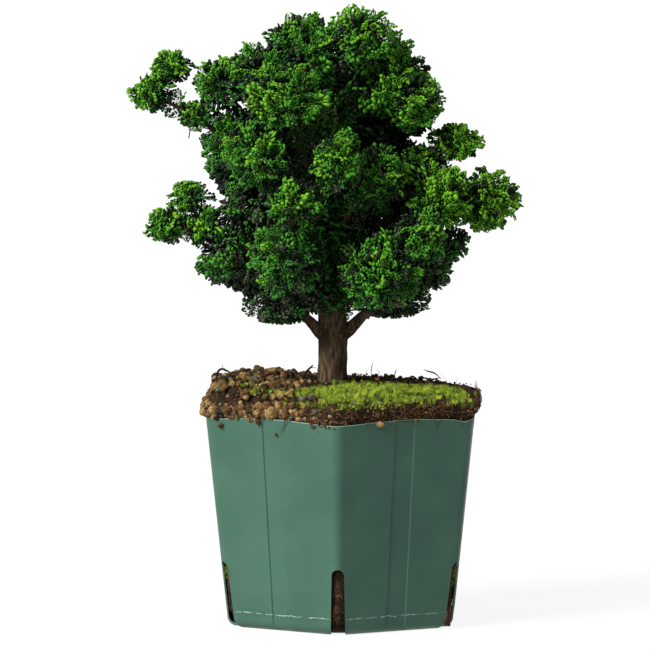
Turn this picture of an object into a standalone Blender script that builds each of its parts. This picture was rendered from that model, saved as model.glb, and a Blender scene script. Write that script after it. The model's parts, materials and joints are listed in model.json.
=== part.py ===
"""A dwarf hinoki cypress in a six-sided nursery pot, as separate named solids.

Metres, +Z up. The origin is the centre of the pot's flat underside. The tree's front faces -Y,
and one corner of the pot points to the front.
"""

import math
import random

import bmesh
import bpy
import numpy as np
from mathutils import Matrix, Vector, noise

MM = 0.001

# The pot: a six-sided slit pot, one corner to the front, slightly turned
POT_SIDES = 6
POT_FRONT_CORNER = math.radians(-92)
POT_HEIGHT = 158 * MM
POT_FLATS_RIM = 198.8 * MM
POT_FLATS_FOOT = 168.1 * MM
POT_FOOT_RADIUS = 8 * MM
POT_CORNER_RIM = 10 * MM
POT_CORNER_FOOT = 6 * MM
SHARPEST_CORNER = 1 * MM
POT_WALL = 1.2 * MM
POT_FLOOR = 1.6 * MM
BAND_WIDTH = 15.4 * MM
BAND_DEPTH = 0.8 * MM
BAND_EDGE = 1.0 * MM
CORNER_STEPS = 3
FOOT_STEPS = 2
SLIT_WIDTH_TOP = 9.2 * MM
SLIT_WIDTH_FOOT = 10.8 * MM
SLIT_HEIGHT = 50 * MM
SLIT_REACH_IN = 20 * MM

# The root ball, which stands out of the pot. Its cut side above the rim has rings at these heights, each
# this much wider, and its top has rings at these shares of its width
GAP = 0.3 * MM
BALL_CLEARANCE = 0.5 * MM
BALL_OVERHANG = 2.5 * MM
BALL_SHOULDER = 7 * MM
SOIL_LEVEL = 179 * MM
SOIL_EDGE_DROP = 5 * MM
SOIL_TILT = 0.015
SOIL_REACH = 100 * MM
SOIL_FLAT_RADIUS = 19 * MM
MOUND = ((-64 * MM, 2 * MM), 42 * MM, 8 * MM)
BALL_ROUGHNESS = 1.6 * MM
BALL_ROUGHNESS_SIZE = 14 * MM
BALL_SIDE = ((BALL_CLEARANCE, 0), (5 * MM, 1.5 * MM), (11 * MM, 0.5 * MM))
BALL_SIDE_ROUGHNESS = 0.022
BALL_EDGE_ROUND = 2.5 * MM
BALL_TOP_SHARES = (1, 0.8, 0.55)

# The moss carpet on the front right of the root ball
MOSS_THICKNESS = 4 * MM
MOSS_LIFT = 0.45 * MM
MOSS_CENTRE = (32 * MM, -55 * MM)
MOSS_HALF = (62 * MM, 27 * MM)
MOSS_TURN = math.radians(24)
MOSS_RINGS = 4
MOSS_STEPS = 22
MOSS_WAVES = ((3, 1, 0.13), (7, 0, 0.06))
MOSS_UNDERCUT = 3 * MM
MOSS_EDGE_THINNING = 0.75
MOSS_BUMP = 0.8 * MM
MOSS_BUMP_SIZE = 7 * MM

# The trunk: height, sideways place and radius of each of its stations
TRUNK_FOOT = SOIL_LEVEL + GAP
TRUNK_STATIONS = (
    (179, (-6.2, 0), 13.2),
    (186, (-6.2, 0), 11.8),
    (200, (-5.9, 0), 11.2),
    (213, (-5.9, 0), 12.0),
    (225, (-6.6, 0), 11.8),
    (247, (-9, 1), 9.2),
    (282, (-16, 2), 7.8),
    (323, (-22, 2), 6.0),
    (360, (-20, 0), 4.6),
    (390, (-13, -1), 3.4),
    (410, (-9, -2), 2.6),
)
TRUNK_SIDES = 10
TRUNK_STEP = 11 * MM

# Each mass of foliage: the height at which its bough leaves the trunk, that bough's radius there, how far
# the bough bows sideways, and the lobes of the mass, each a centre and three half-sizes, in millimetres
MASSES = {
    "top": (None, 0, 0, (((-26, -4, 427), (37, 42, 29)), ((12, -12, 435), (34, 32, 27)))),
    "top_left": (332, 4.2, 5, (((-55, -6, 408), (31, 40, 32)), ((-89, -4, 402), (23, 30, 22)))),
    "top_right": (356, 4.0, -4, (((32, 2, 409), (33, 40, 36)), ((55, -14, 389), (22, 36, 23)))),
    "far_left_high": (303, 4.0, -6, (
        ((-110, -2, 380), (19, 16, 10)), ((-141, -6, 396), (19, 20, 15)), ((-127, 0, 415), (18, 18, 13)))),
    "left_mid": (285, 4.2, 5, (((-74, -2, 360), (34, 40, 36)),)),
    "left_inner": (269, 3.6, -8, (((-65, 4, 315), (29, 38, 31)),)),
    "front_left_high": (320, 3.6, 3, (((-41, -55, 394), (34, 32, 30)), ((-59, -51, 354), (32, 32, 28)))),
    "front_centre": (285, 3.6, 6, (((25, -39, 334), (28, 28, 31)), ((-5, -75, 353), (22, 18, 30)))),
    "right_pad_high": (298, 3.8, -5, (((61, 2, 343), (22, 26, 13)), ((84, -4, 359), (22, 28, 14)))),
    "right_far": (264, 4.8, 4, (((69, -24, 321), (30, 34, 27)), ((104, -8, 316), (32, 32, 25)))),
    "left_far_low": (253, 4.2, 8, (
        ((-101, -12, 296), (22, 20, 17)), ((-129, -10, 297), (21, 21, 14)), ((-114, -4, 318), (22, 18, 12)))),
    "left_low": (235, 5.0, 5, (((-77, -12, 276), (35, 40, 27)),)),
    "front_low_left": (265, 3.8, -4, (((-41, -61, 279), (30, 31, 34)), ((-33, -73, 320), (26, 20, 20)))),
    "bottom_left": (211, 7.0, 0, (((-45, -12, 243), (34, 38, 19)),)),
    "right_low": (237, 5.0, -5, (((55, -10, 274), (33, 40, 30)), ((79, -6, 284), (17, 22, 16)))),
    "front_low_right": (251, 4.0, 3, (((29, -55, 267), (34, 34, 33)), ((57, -55, 293), (23, 22, 24)))),
    "bottom_right": (212, 7.2, 0, (((37, -6, 246), (34, 38, 18)),)),
    "back_high": (345, 4.0, 6, (((-25, 49, 395), (42, 40, 33)), ((25, 45, 384), (42, 42, 38)))),
    "back_left": (318, 3.8, 5, (((-61, 47, 343), (40, 40, 38)),)),
    "back_right": (289, 4.2, 6, (((-3, 65, 335), (42, 38, 40)), ((49, 51, 325), (37, 40, 31)))),
    "back_low_left": (244, 4.2, 4, (((-51, 45, 273), (41, 42, 38)),)),
    "back_low": (229, 4.8, 4, (((13, 57, 270), (42, 40, 40)), ((53, 35, 274), (31, 38, 29)))),
}
LOBE_GAP = 1.0 * MM
FULLNESS = 1.04
BOUGH_SIDES = 5
BOUGH_STEPS = 4
BOUGH_TIP_SHARE = 0.5
BOUGH_COLLAR = 1.35
BOUGH_SAG = 0.0875
BOUGH_CUT = 1.2 * GAP
STEM_SHARE = 0.9
STEM_SIDES = 5
STEM_STEP = 12 * MM
STEM_SUNK = 2 * MM
STEM_TAPER = 0.8
FORK_TAPER = 0.55
FORK_REACH = 0.96

# Foliage: sprays are toothed blades that stand out of a smaller core, their flat sides turned outward
CORE_SHARE = 0.73
CORE_ROUGHNESS = 0.3
CORE_DETAIL = 1
CORE_MOST = 1.12
CORE_INSET = 1.2 * MM
SPRAY_LENGTH = 0.54
SPRAY_WIDTH = 0.66
SPRAY_THICKNESS = 2.4 * MM
SPRAYS_ON_LOBE = 10
SPRAYS_ON_SMALL_LOBE = 7
SMALL_LOBE = 22 * MM
SPRAY_OUTLINE = ((0, 0), (0.55, 0.5), (0.7, 0.22), (1, 0.06), (0.74, -0.2), (0.62, -0.5))
SPRAY_SIZES = (1, 0.75, 0.55)
SPRAY_LEAN = 0.8
SPRAY_ROOTED = 0.88
SPRAY_WITHIN = 0.985
SPRAY_MIDDLE = 0.55
SPRAY_TIPS = (0.94, 1)
TWIG_RADIUS = 1.1 * MM
TWIG_TAPER = 0.6
TWIG_REACH = (0.4, 0.84)
TWIG_SIDES = 3
TWIG_EVERY = 6
TWIG_FIRST = 2
TWIG_SPRAYS_AT = (0.9, 0.6)
LEAST_SPACE = 0.55
CROWN_AXIS = Vector((-12 * MM, 0))
OUTER_LOBE = 110 * MM
OUTER_SPRAY = (0.35, 0.95)
LIMB_CLEARANCE = 1.2 * MM
LIMB_CUT = 1.6 * GAP
LIMB_END_CUT = 1.1 * GAP
STEM_CUT = 2.5 * GAP
GOLDEN_ANGLE = math.pi * (3 - math.sqrt(5))

COLOURS = {
    "pot_plastic": ((0.075, 0.205, 0.145), 0.42),
    "soil": ((0.085, 0.048, 0.022), 0.95),
    "moss": ((0.13, 0.24, 0.03), 0.9),
    "bark": ((0.075, 0.052, 0.033), 0.9),
    "foliage": ((0.03, 0.12, 0.018), 0.7),
}


def clear_scene():
    for obj in list(bpy.data.objects):
        bpy.data.objects.remove(obj)


def make_materials():
    made = {}
    for name, (colour, roughness) in COLOURS.items():
        material = bpy.data.materials.new(name)
        material.use_nodes = True
        shader = material.node_tree.nodes["Principled BSDF"]
        shader.inputs["Base Color"].default_value = (*colour, 1)
        shader.inputs["Roughness"].default_value = roughness
        shader.inputs["Metallic"].default_value = 0
        made[name] = material
    return made


def object_from(name, points, faces, collection=None):
    """An object from points and faces, with its normals made to point out."""
    mesh = bpy.data.meshes.new(name)
    mesh.from_pydata([tuple(p) for p in points], [], faces)
    shape = bmesh.new()
    shape.from_mesh(mesh)
    bmesh.ops.recalc_face_normals(shape, faces=shape.faces)
    bmesh.ops.triangulate(shape, faces=shape.faces)
    shape.to_mesh(mesh)
    shape.free()
    obj = bpy.data.objects.new(name, mesh)
    (collection or bpy.context.scene.collection).objects.link(obj)
    return obj


def bake(obj):
    """Applies the object's modifiers."""
    graph = bpy.context.evaluated_depsgraph_get()
    mesh = bpy.data.meshes.new_from_object(obj.evaluated_get(graph))
    obj.modifiers.clear()
    old = obj.data
    obj.data = mesh
    bpy.data.meshes.remove(old)


def combine(obj, helpers, operation, solver="EXACT"):
    """Joins helpers to obj, or cuts them from it, and removes them."""
    if not helpers:
        return
    group = bpy.data.collections.new("helpers")
    bpy.context.scene.collection.children.link(group)
    for helper in helpers:
        for owner in list(helper.users_collection):
            owner.objects.unlink(helper)
        group.objects.link(helper)
    modifier = obj.modifiers.new(operation.lower(), "BOOLEAN")
    modifier.operation = operation
    modifier.operand_type = "COLLECTION"
    modifier.collection = group
    modifier.solver = solver
    bake(obj)
    for helper in list(group.objects):
        bpy.data.objects.remove(helper)
    bpy.data.collections.remove(group)


def islands_of(shape):
    """The separate pieces of a shape, each a set of its faces."""
    unseen = set(shape.faces)
    made = []
    while unseen:
        front = [unseen.pop()]
        island = set(front)
        while front:
            for edge in front.pop().edges:
                for face in edge.link_faces:
                    if face in unseen:
                        unseen.discard(face)
                        island.add(face)
                        front.append(face)
        made.append(island)
    return made


def volume_of(island):
    """The volume inside an island's faces, below zero for a hollow."""
    total = 0.0
    for face in island:
        first = face.verts[0].co
        for a, b in zip(face.verts[1:], face.verts[2:]):
            total += first.dot(a.co.cross(b.co)) / 6
    return total


def keep_one_body(obj):
    """Keeps the largest piece, drops loose scraps and fills sealed hollows."""
    shape = bmesh.new()
    shape.from_mesh(obj.data)
    islands = sorted(islands_of(shape), key=volume_of)
    dropped = [face for island in islands[:-1] for face in island]
    bmesh.ops.delete(shape, geom=dropped, context="FACES")
    bmesh.ops.delete(shape, geom=[v for v in shape.verts if not v.link_faces], context="VERTS")
    shape.to_mesh(obj.data)
    shape.free()


def finish(obj, material, smooth=True):
    obj.data.materials.clear()
    obj.data.materials.append(material)
    if smooth:
        obj.data.shade_smooth()
        obj.data.set_sharp_from_angle(angle=math.radians(35))
    return obj


# Outlines of the pot and the root ball


def polar(radius, angle):
    return Vector((radius * math.cos(angle), radius * math.sin(angle)))


def pot_outline(flats, corner, band_depth):
    """A six-sided outline with round corners and a shallow recess down the middle of each side."""
    corner = max(corner, SHARPEST_CORNER)
    half_turn = math.pi / POT_SIDES
    middle = (flats / 2 - corner) / math.cos(half_turn)
    points = []
    for number in range(POT_SIDES):
        ahead = POT_FRONT_CORNER + 2 * half_turn * number
        for step in range(CORNER_STEPS + 1):
            angle = ahead + half_turn * (2 * step / CORNER_STEPS - 1)
            points.append(polar(middle, ahead) + polar(corner, angle))
        facing = ahead + half_turn
        for across, depth in (
            (-BAND_WIDTH / 2 - BAND_EDGE, 0),
            (-BAND_WIDTH / 2, band_depth),
            (BAND_WIDTH / 2, band_depth),
            (BAND_WIDTH / 2 + BAND_EDGE, 0),
        ):
            points.append(polar(flats / 2 - depth, facing) + polar(across, facing + math.pi / 2))
    return points


def flats_at(height):
    """The pot's width across its flats at a height above its underside."""
    share = (height - POT_FOOT_RADIUS) / (POT_HEIGHT - POT_FOOT_RADIUS)
    return POT_FLATS_FOOT + (POT_FLATS_RIM - POT_FLATS_FOOT) * share


def pot_rings(inset, floor, top):
    """Outlines of the pot from its floor to its rim, each moved in by inset."""
    rings = []
    radius = POT_FOOT_RADIUS
    for step in range(FOOT_STEPS + 1):
        angle = math.radians(90) * step / FOOT_STEPS
        height = radius * (1 - math.cos(angle))
        pulled = inset + radius * (1 - math.sin(angle))
        height = floor + height * (radius - floor) / radius
        band = BAND_DEPTH * step / FOOT_STEPS
        rings.append((height, POT_FLATS_FOOT - 2 * pulled, POT_CORNER_FOOT - pulled, band))
    rings.append((top, flats_at(top) - 2 * inset, POT_CORNER_RIM - inset, BAND_DEPTH))
    return [
        [Vector((p.x, p.y, height)) for p in pot_outline(flats, corner, band)]
        for height, flats, corner, band in rings
    ]


def stacked(rings, first_centre=None, last_centre=None):
    """Points and faces of rings joined one to the next, closed at each end by a fan or by one face."""
    count = len(rings[0])
    points = [p for ring in rings for p in ring]
    faces = []
    for level in range(len(rings) - 1):
        for i in range(count):
            j = (i + 1) % count
            a, b = level * count, (level + 1) * count
            faces.append((a + i, a + j, b + j, b + i))
    for base, centre in ((0, first_centre), ((len(rings) - 1) * count, last_centre)):
        if centre is None:
            faces.append([base + i for i in range(count)])
            continue
        points.append(centre)
        for i in range(count):
            faces.append((base + i, base + (i + 1) % count, len(points) - 1))
    return points, faces


def make_pot(material):
    outer = pot_rings(0, 0, POT_HEIGHT)
    inner = pot_rings(POT_WALL, POT_FLOOR, POT_HEIGHT)
    inner.reverse()
    points, faces = stacked(outer + inner)
    pot = object_from("pot", points, faces)
    cutters = []
    for number in range(POT_SIDES):
        cutters.append(slit_cutter(POT_FRONT_CORNER + 2 * math.pi * number / POT_SIDES))
    combine(pot, cutters, "DIFFERENCE")
    return finish(pot, material)


def slit_cutter(angle):
    """A slit at one corner, from under the pot up to a round end."""
    corner = (POT_FLATS_FOOT / 2 - POT_CORNER_FOOT) / math.cos(math.pi / POT_SIDES) + POT_CORNER_FOOT
    near, far = corner - SLIT_REACH_IN, corner + SLIT_REACH_IN
    half = SLIT_WIDTH_TOP / 2
    outline = [(-SLIT_WIDTH_FOOT / 2, -POT_FLOOR), (SLIT_WIDTH_FOOT / 2, -POT_FLOOR)]
    arc_steps = 6
    for step in range(arc_steps + 1):
        turn = math.pi * step / arc_steps
        outline.append((half * math.cos(turn), SLIT_HEIGHT - half + half * math.sin(turn)))
    turned = Matrix.Rotation(angle, 3, "Z")
    rings = [[turned @ Vector((reach, across, up)) for across, up in outline] for reach in (near, far)]
    return object_from("slit", *stacked(rings))


def soil_height(x, y):
    """Height of the soil's top, before its roughness."""
    (mound_x, mound_y), mound_size, mound_height = MOUND
    away = math.hypot(x - mound_x, y - mound_y) / mound_size
    drop = SOIL_EDGE_DROP * (math.hypot(x, y) / SOIL_REACH) ** 2
    return SOIL_LEVEL + mound_height * math.exp(-away * away) - drop - SOIL_TILT * x


def roughness(point, size=BALL_ROUGHNESS_SIZE):
    return noise.noise(Vector(point) / size)


def ball_top_point(x, y):
    """A point of the soil's top: rough, but level where the trunk stands."""
    foot_x, foot_y = (c * MM for c in TRUNK_STATIONS[0][1])
    away = math.hypot(x - foot_x, y - foot_y)
    rough = min(1.0, max(0.0, (away - SOIL_FLAT_RADIUS) / SOIL_FLAT_RADIUS))
    height = soil_height(x, y) + BALL_ROUGHNESS * roughness((x, y, 0))
    return Vector((x, y, SOIL_LEVEL + (height - SOIL_LEVEL) * rough))


def ball_side_rings(over):
    """Rings of the ball's cut side, from the pot's rim up. The lowest lies flat over the rim."""
    rings = []
    for number, (lift, grow) in enumerate(BALL_SIDE):
        height = POT_HEIGHT + lift
        ring = []
        for p in pot_outline(over + 2 * grow, POT_CORNER_RIM + 2 * grow, 0):
            push = 1 + BALL_SIDE_ROUGHNESS * roughness((p.x, p.y, height)) if number else 1
            ring.append(Vector((p.x * push, p.y * push, height)))
        rings.append(ring)
    return rings


def ball_top_rings(over, centre):
    """Rings of the ball's top, from its edge in to the flat place under the trunk."""
    edge = pot_outline(over - BALL_SHOULDER, POT_CORNER_RIM, 0)
    rings = []
    for share in BALL_TOP_SHARES:
        spots = [centre + (p - centre) * share for p in edge]
        rings.append([ball_top_point(spot.x, spot.y) for spot in spots])
    for point in rings[0]:
        point.z -= BALL_EDGE_ROUND
    spots = [centre + (p - centre).normalized() * SOIL_FLAT_RADIUS for p in edge]
    rings.append([Vector((spot.x, spot.y, SOIL_LEVEL)) for spot in spots])
    return rings


def make_root_ball(material):
    floor = POT_FLOOR + BALL_CLEARANCE
    rings = pot_rings(POT_WALL + BALL_CLEARANCE, floor, POT_HEIGHT + BALL_CLEARANCE)
    over = flats_at(POT_HEIGHT) + 2 * BALL_OVERHANG
    centre = Vector(TRUNK_STATIONS[0][1]) * MM
    rings += ball_side_rings(over) + ball_top_rings(over, centre)
    points, faces = stacked(rings, last_centre=Vector((centre.x, centre.y, SOIL_LEVEL)))
    return finish(object_from("root_ball", points, faces), material)


def make_moss(material, ball):
    """A carpet that follows the soil's top and is cut clear of it."""
    turn = Matrix.Rotation(MOSS_TURN, 2)
    centre = Vector(MOSS_CENTRE)
    top, bottom = [], []
    for ring in range(1, MOSS_RINGS + 1):
        share = ring / MOSS_RINGS
        upper, lower = [], []
        for step in range(MOSS_STEPS):
            angle = 2 * math.pi * step / MOSS_STEPS
            edge = 1 + sum(size * math.sin(turns * angle + at) for turns, at, size in MOSS_WAVES)
            square = (abs(math.cos(angle)) ** 4 + abs(math.sin(angle)) ** 4) ** -0.25
            flat = Vector((MOSS_HALF[0] * math.cos(angle), MOSS_HALF[1] * math.sin(angle)))
            spot = centre + turn @ (flat * square * edge * share)
            ground = ball_top_point(spot.x, spot.y)
            thick = MOSS_THICKNESS * (1 - MOSS_EDGE_THINNING * share ** 6)
            bump = MOSS_BUMP * roughness((spot.x, spot.y, 1), MOSS_BUMP_SIZE)
            upper.append(Vector((spot.x, spot.y, ground.z + MOSS_LIFT + thick + bump)))
            lower.append(Vector((spot.x, spot.y, ground.z + MOSS_LIFT - MOSS_UNDERCUT)))
        top.append(upper)
        bottom.append(lower)
    ground = ball_top_point(*centre)
    low = Vector((centre.x, centre.y, ground.z + MOSS_LIFT - MOSS_UNDERCUT))
    high = Vector((centre.x, centre.y, ground.z + MOSS_LIFT + MOSS_THICKNESS))
    points, faces = stacked(bottom + top[::-1], first_centre=low, last_centre=high)
    moss = object_from("moss", points, faces)
    soil = ball.copy()
    soil.data = ball.data.copy()
    bpy.context.scene.collection.objects.link(soil)
    soil.location.z = MOSS_LIFT
    bpy.context.view_layer.update()
    combine(moss, [soil], "DIFFERENCE")
    keep_one_body(moss)
    return finish(moss, material)


# Limbs


def smooth_path(stations, step):
    """Points and radii along a smooth curve through stations of (point, radius)."""
    spots = [np.array([*p, r]) for p, r in stations]
    lengths = [0.0]
    for a, b in zip(spots, spots[1:]):
        lengths.append(lengths[-1] + float(np.linalg.norm(b[:3] - a[:3])))
    count = max(2, round(lengths[-1] / step))
    made = []
    for k in range(count + 1):
        along = lengths[-1] * k / count
        i = min(len(spots) - 2, max(0, int(np.searchsorted(lengths, along, side="right")) - 1))
        t = (along - lengths[i]) / (lengths[i + 1] - lengths[i])
        before = spots[max(0, i - 1)]
        after = spots[min(len(spots) - 1, i + 2)]
        start, end = (spots[i + 1] - before) / 2, (after - spots[i]) / 2
        made.append(
            (2 * t**3 - 3 * t**2 + 1) * spots[i] + (t**3 - 2 * t**2 + t) * start
            + (3 * t**2 - 2 * t**3) * spots[i + 1] + (t**3 - t**2) * end
        )
    return [(Vector(m[:3]), float(m[3])) for m in made]


def tube(name, path, sides, fatter=0.0, longer=0.0, level_foot=False):
    """A closed limb along a path of (point, radius)."""
    path = [(p.copy(), r + fatter) for p, r in path]
    if longer:
        path[-1] = (path[-1][0] + (path[-1][0] - path[-2][0]).normalized() * longer, path[-1][1])
    aside = Vector((0, 1, 0))
    rings = []
    for i, (point, radius) in enumerate(path):
        ahead = path[min(i + 1, len(path) - 1)][0] - path[max(i - 1, 0)][0]
        if level_foot and i == 0:
            ahead = Vector((0, 0, 1))
        ahead.normalize()
        side = (aside - ahead * aside.dot(ahead)).normalized()
        up = ahead.cross(side)
        aside = side
        ring = []
        for k in range(sides):
            angle = 2 * math.pi * k / sides
            ring.append(point + (side * math.cos(angle) + up * math.sin(angle)) * radius)
        rings.append(ring)
    return object_from(name, *stacked(rings))


def trunk_path():
    stations = [(Vector((x * MM, y * MM, z * MM)), r * MM) for z, (x, y), r in TRUNK_STATIONS]
    stations[0] = (Vector((*stations[0][0].xy, TRUNK_FOOT)), stations[0][1])
    return smooth_path(stations, TRUNK_STEP)


def trunk_point(path, height):
    for (low, _), (high, _) in zip(path, path[1:]):
        if low.z <= height <= high.z:
            return low.lerp(high, (height - low.z) / (high.z - low.z))
    return path[-1][0].copy()


# Spaces of the lobes


class Lobe:
    """One lobe of a mass: an ellipsoid that flat walls part from the lobes of the other masses."""

    def __init__(self, mass, centre, half):
        self.mass = mass
        self.centre = Vector(centre) * MM
        self.half = Vector(half) * MM * FULLNESS
        self.size = (self.half.x * self.half.y * self.half.z) ** (1 / 3)
        self.walls = []

    def ellipsoid_reach(self, direction):
        scaled = Vector(d / h for d, h in zip(direction, self.half))
        return 1 / scaled.length

    def reach(self, direction):
        """Distance from the centre to the edge of the lobe's space along a unit direction."""
        limit = self.ellipsoid_reach(direction)
        for normal, offset in self.walls:
            along = direction.dot(normal)
            if along > 1e-6:
                limit = min(limit, offset / along)
        return limit

    def core_radius(self, direction):
        """How far the core reaches: rough all round, and clear of the walls."""
        rough = 1 + CORE_ROUGHNESS * noise.noise(direction * 1.7 + self.centre / (20 * MM))
        radius = self.ellipsoid_reach(direction) * CORE_SHARE * min(rough, CORE_MOST)
        return min(radius, self.reach(direction) - CORE_INSET)

    def pulled_in(self, point):
        """The point itself, or the nearest one towards the centre that lies in the lobe's space."""
        out = point - self.centre
        away = out.length
        most = SPRAY_WITHIN * self.reach(out / away)
        return point if away <= most else self.centre + out * (most / away)

    def rooted(self, point):
        """The point itself, or the nearest one towards the centre that lies well inside the core."""
        out = point - self.centre
        away = out.length
        most = SPRAY_ROOTED * self.core_radius(out / away)
        return point if away <= most else self.centre + out * (most / away)


def make_lobes():
    lobes = [Lobe(name, *lobe) for name, (_, _, _, shapes) in MASSES.items() for lobe in shapes]
    for i, a in enumerate(lobes):
        for b in lobes[i + 1:]:
            if a.mass == b.mass:
                continue
            between = b.centre - a.centre
            normal = between.normalized()
            reach_a, reach_b = a.ellipsoid_reach(normal), b.ellipsoid_reach(-normal)
            split = between.length * reach_a / (reach_a + reach_b)
            a.walls.append((normal, split - LOBE_GAP / 2))
            b.walls.append((-normal, between.length - split - LOBE_GAP / 2))
    return lobes


def bough_path(trunk, start_height, radius, bow, lobe):
    """A bough that leaves the trunk, bows, and ends where it enters its mass."""
    start = trunk_point(trunk, start_height * MM)
    back = (start - lobe.centre).normalized()
    tip = lobe.centre + back * lobe.reach(back) * STEM_SHARE
    run = tip - start
    sideways = Vector((-run.y, run.x, 0)).normalized() * bow * MM
    middle = start + run / 2 + sideways - Vector((0, 0, BOUGH_SAG * run.xy.length))
    stations = [
        (start, radius * MM * BOUGH_COLLAR),
        (start.lerp(middle, 0.5), radius * MM),
        (middle, radius * MM * (1 + BOUGH_TIP_SHARE) / 2),
        (tip, radius * MM * BOUGH_TIP_SHARE),
    ]
    length = sum((b - a).length for (a, _), (b, _) in zip(stations, stations[1:]))
    return smooth_path(stations, length / BOUGH_STEPS)


def stem_paths(mass_lobes, tip, tip_radius, ahead):
    """The stem that goes on from the bough's tip into the first lobe, and its forks into the others."""
    thick, thin = tip_radius * STEM_TAPER, tip_radius * FORK_TAPER
    paths = [smooth_path([(tip - ahead * STEM_SUNK, tip_radius), (mass_lobes[0].centre, thick)], STEM_STEP)]
    for before, lobe in zip(mass_lobes, mass_lobes[1:]):
        end = before.centre.lerp(lobe.centre, FORK_REACH)
        paths.append(smooth_path([(before.centre, thick), (end, thin)], STEM_STEP))
    return paths


def limb_arrays(paths):
    """Starts, ends and radii of the pieces of some limbs, for near_limb."""
    starts, ends, radii = [], [], []
    for path in paths:
        for (a, radius_a), (b, radius_b) in zip(path, path[1:]):
            starts.append(a[:])
            ends.append(b[:])
            radii.append(max(radius_a, radius_b))
    return np.array(starts), np.array(ends), np.array(radii)


def near_limb(points, limbs, extra):
    """Whether any of the points lies within extra of any limb's surface."""
    starts, ends, radii = limbs
    spots = np.array([p[:] for p in points])[:, None, :]
    runs = ends - starts
    shares = np.clip(((spots - starts) * runs).sum(2) / (runs * runs).sum(1), 0, 1)
    away = np.linalg.norm(starts + runs * shares[:, :, None] - spots, axis=2)
    return bool((away < radii + extra).any())


# Foliage


def directions(count, seed):
    """Unit directions spread evenly on all sides, a little out of step."""
    dice = random.Random(seed)
    made = []
    for i in range(count):
        up = 1 - 2 * (i + 0.5) / count
        angle = GOLDEN_ANGLE * i + dice.uniform(-0.25, 0.25)
        flat = math.sqrt(max(0.0, 1 - up * up))
        made.append(Vector((flat * math.cos(angle), flat * math.sin(angle), up)))
    return made


def make_core(lobe, seed):
    shape = bmesh.new()
    bmesh.ops.create_icosphere(shape, subdivisions=CORE_DETAIL, radius=1)
    turn = Matrix.Rotation(seed, 3, "Z") @ Matrix.Rotation(seed * 1.7, 3, "X")
    for vert in shape.verts:
        direction = (turn @ vert.co).normalized()
        vert.co = lobe.centre + direction * lobe.core_radius(direction)
    mesh = bpy.data.meshes.new("core")
    shape.to_mesh(mesh)
    shape.free()
    core = bpy.data.objects.new("core", mesh)
    bpy.context.scene.collection.objects.link(core)
    return core


def spray_points(lobe, root, ahead, normal, size):
    """A fan with three teeth: its outline from the root round, then the middles of its two faces.

    Points that would leave the lobe's space are pulled back into it, so that the fan curls round the mass.
    """
    length, width = SPRAY_LENGTH * lobe.size * size, SPRAY_WIDTH * lobe.size * size
    side = ahead.cross(normal).normalized()
    points = [
        lobe.pulled_in(root + ahead * (along * length) + side * (across * width))
        for along, across in SPRAY_OUTLINE
    ]
    points[0] = lobe.rooted(root)
    middle = lobe.pulled_in(root + ahead * (SPRAY_MIDDLE * length) + normal * SPRAY_THICKNESS)
    return points + [middle - normal * (SPRAY_THICKNESS / 3), middle - normal * (SPRAY_THICKNESS * 4 / 3)]


def spray_faces():
    count = len(SPRAY_OUTLINE)
    faces = []
    for i in range(count):
        j = (i + 1) % count
        faces += [(i, j, count), (j, i, count + 1)]
    return faces


def across_spray(points):
    """Points spread over a spray's blade, close enough together that no limb slips between them."""
    outline, middle = points[:-2], points[-1].lerp(points[-2], 0.5)
    spread = [middle]
    for a, b in zip(outline, outline[1:] + outline[:1]):
        for along in (0, 0.33, 0.67):
            for out in (0.33, 0.67, 1):
                spread.append(middle.lerp(a.lerp(b, along), out))
    return spread


def add_spray(pieces, lobe, limbs, direction, share, dice):
    """Grows one spray whose tip is at a share of the lobe's reach, if no limb is in its way."""
    loose = Vector((dice.gauss(0, 1), dice.gauss(0, 1), dice.gauss(0.5, 1)))
    aside = (loose - direction * loose.dot(direction)).normalized()
    ahead = (direction + aside * SPRAY_LEAN).normalized()
    normal = (direction - ahead * direction.dot(ahead)).normalized()
    tip = lobe.centre + direction * lobe.reach(direction) * share
    for size in SPRAY_SIZES:
        root = tip - ahead * SPRAY_LENGTH * lobe.size * size
        points = spray_points(lobe, root, ahead, normal, size)
        if not near_limb(across_spray(points), limbs, LIMB_CLEARANCE):
            pieces.append(object_from("spray", points, spray_faces()))
            return


def add_outer_spray(pieces, lobe, limbs):
    """Grows the spray that reaches the furthest point of a lobe at the crown's edge."""
    direction = (lobe.centre.xy - CROWN_AXIS).normalized().to_3d()
    root_share, tip_share = OUTER_SPRAY
    root = lobe.centre + direction * lobe.reach(direction) * root_share
    length = lobe.reach(direction) * (tip_share - root_share)
    size = length / (SPRAY_LENGTH * lobe.size)
    points = spray_points(lobe, root, direction, Vector((0, 0, 1)), size)
    if not near_limb(across_spray(points), limbs, LIMB_CLEARANCE):
        pieces.append(object_from("spray", points, spray_faces()))


def add_twig(pieces, lobe, limbs, direction, dice):
    """Grows a twig out of the core, with smaller sprays spread on it."""
    start, end = (lobe.centre + direction * lobe.reach(direction) * share for share in TWIG_REACH)
    if near_limb([start.lerp(end, k / 6) for k in range(7)], limbs, LIMB_CLEARANCE):
        return
    pieces.append(tube("twig", [(start, TWIG_RADIUS), (end, TWIG_RADIUS * TWIG_TAPER)], TWIG_SIDES))
    for along in TWIG_SPRAYS_AT:
        loose = Vector((dice.gauss(0, 1), dice.gauss(0, 1), dice.gauss(0, 1)))
        aside = (loose - direction * loose.dot(direction)).normalized()
        ahead = (direction + aside).normalized()
        root = start.lerp(end, along)
        points = spray_points(lobe, root, ahead, direction.cross(ahead).normalized(), SPRAY_SIZES[-1])
        if not near_limb(across_spray(points), limbs, LIMB_CLEARANCE):
            pieces.append(object_from("spray", points, spray_faces()))


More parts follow.
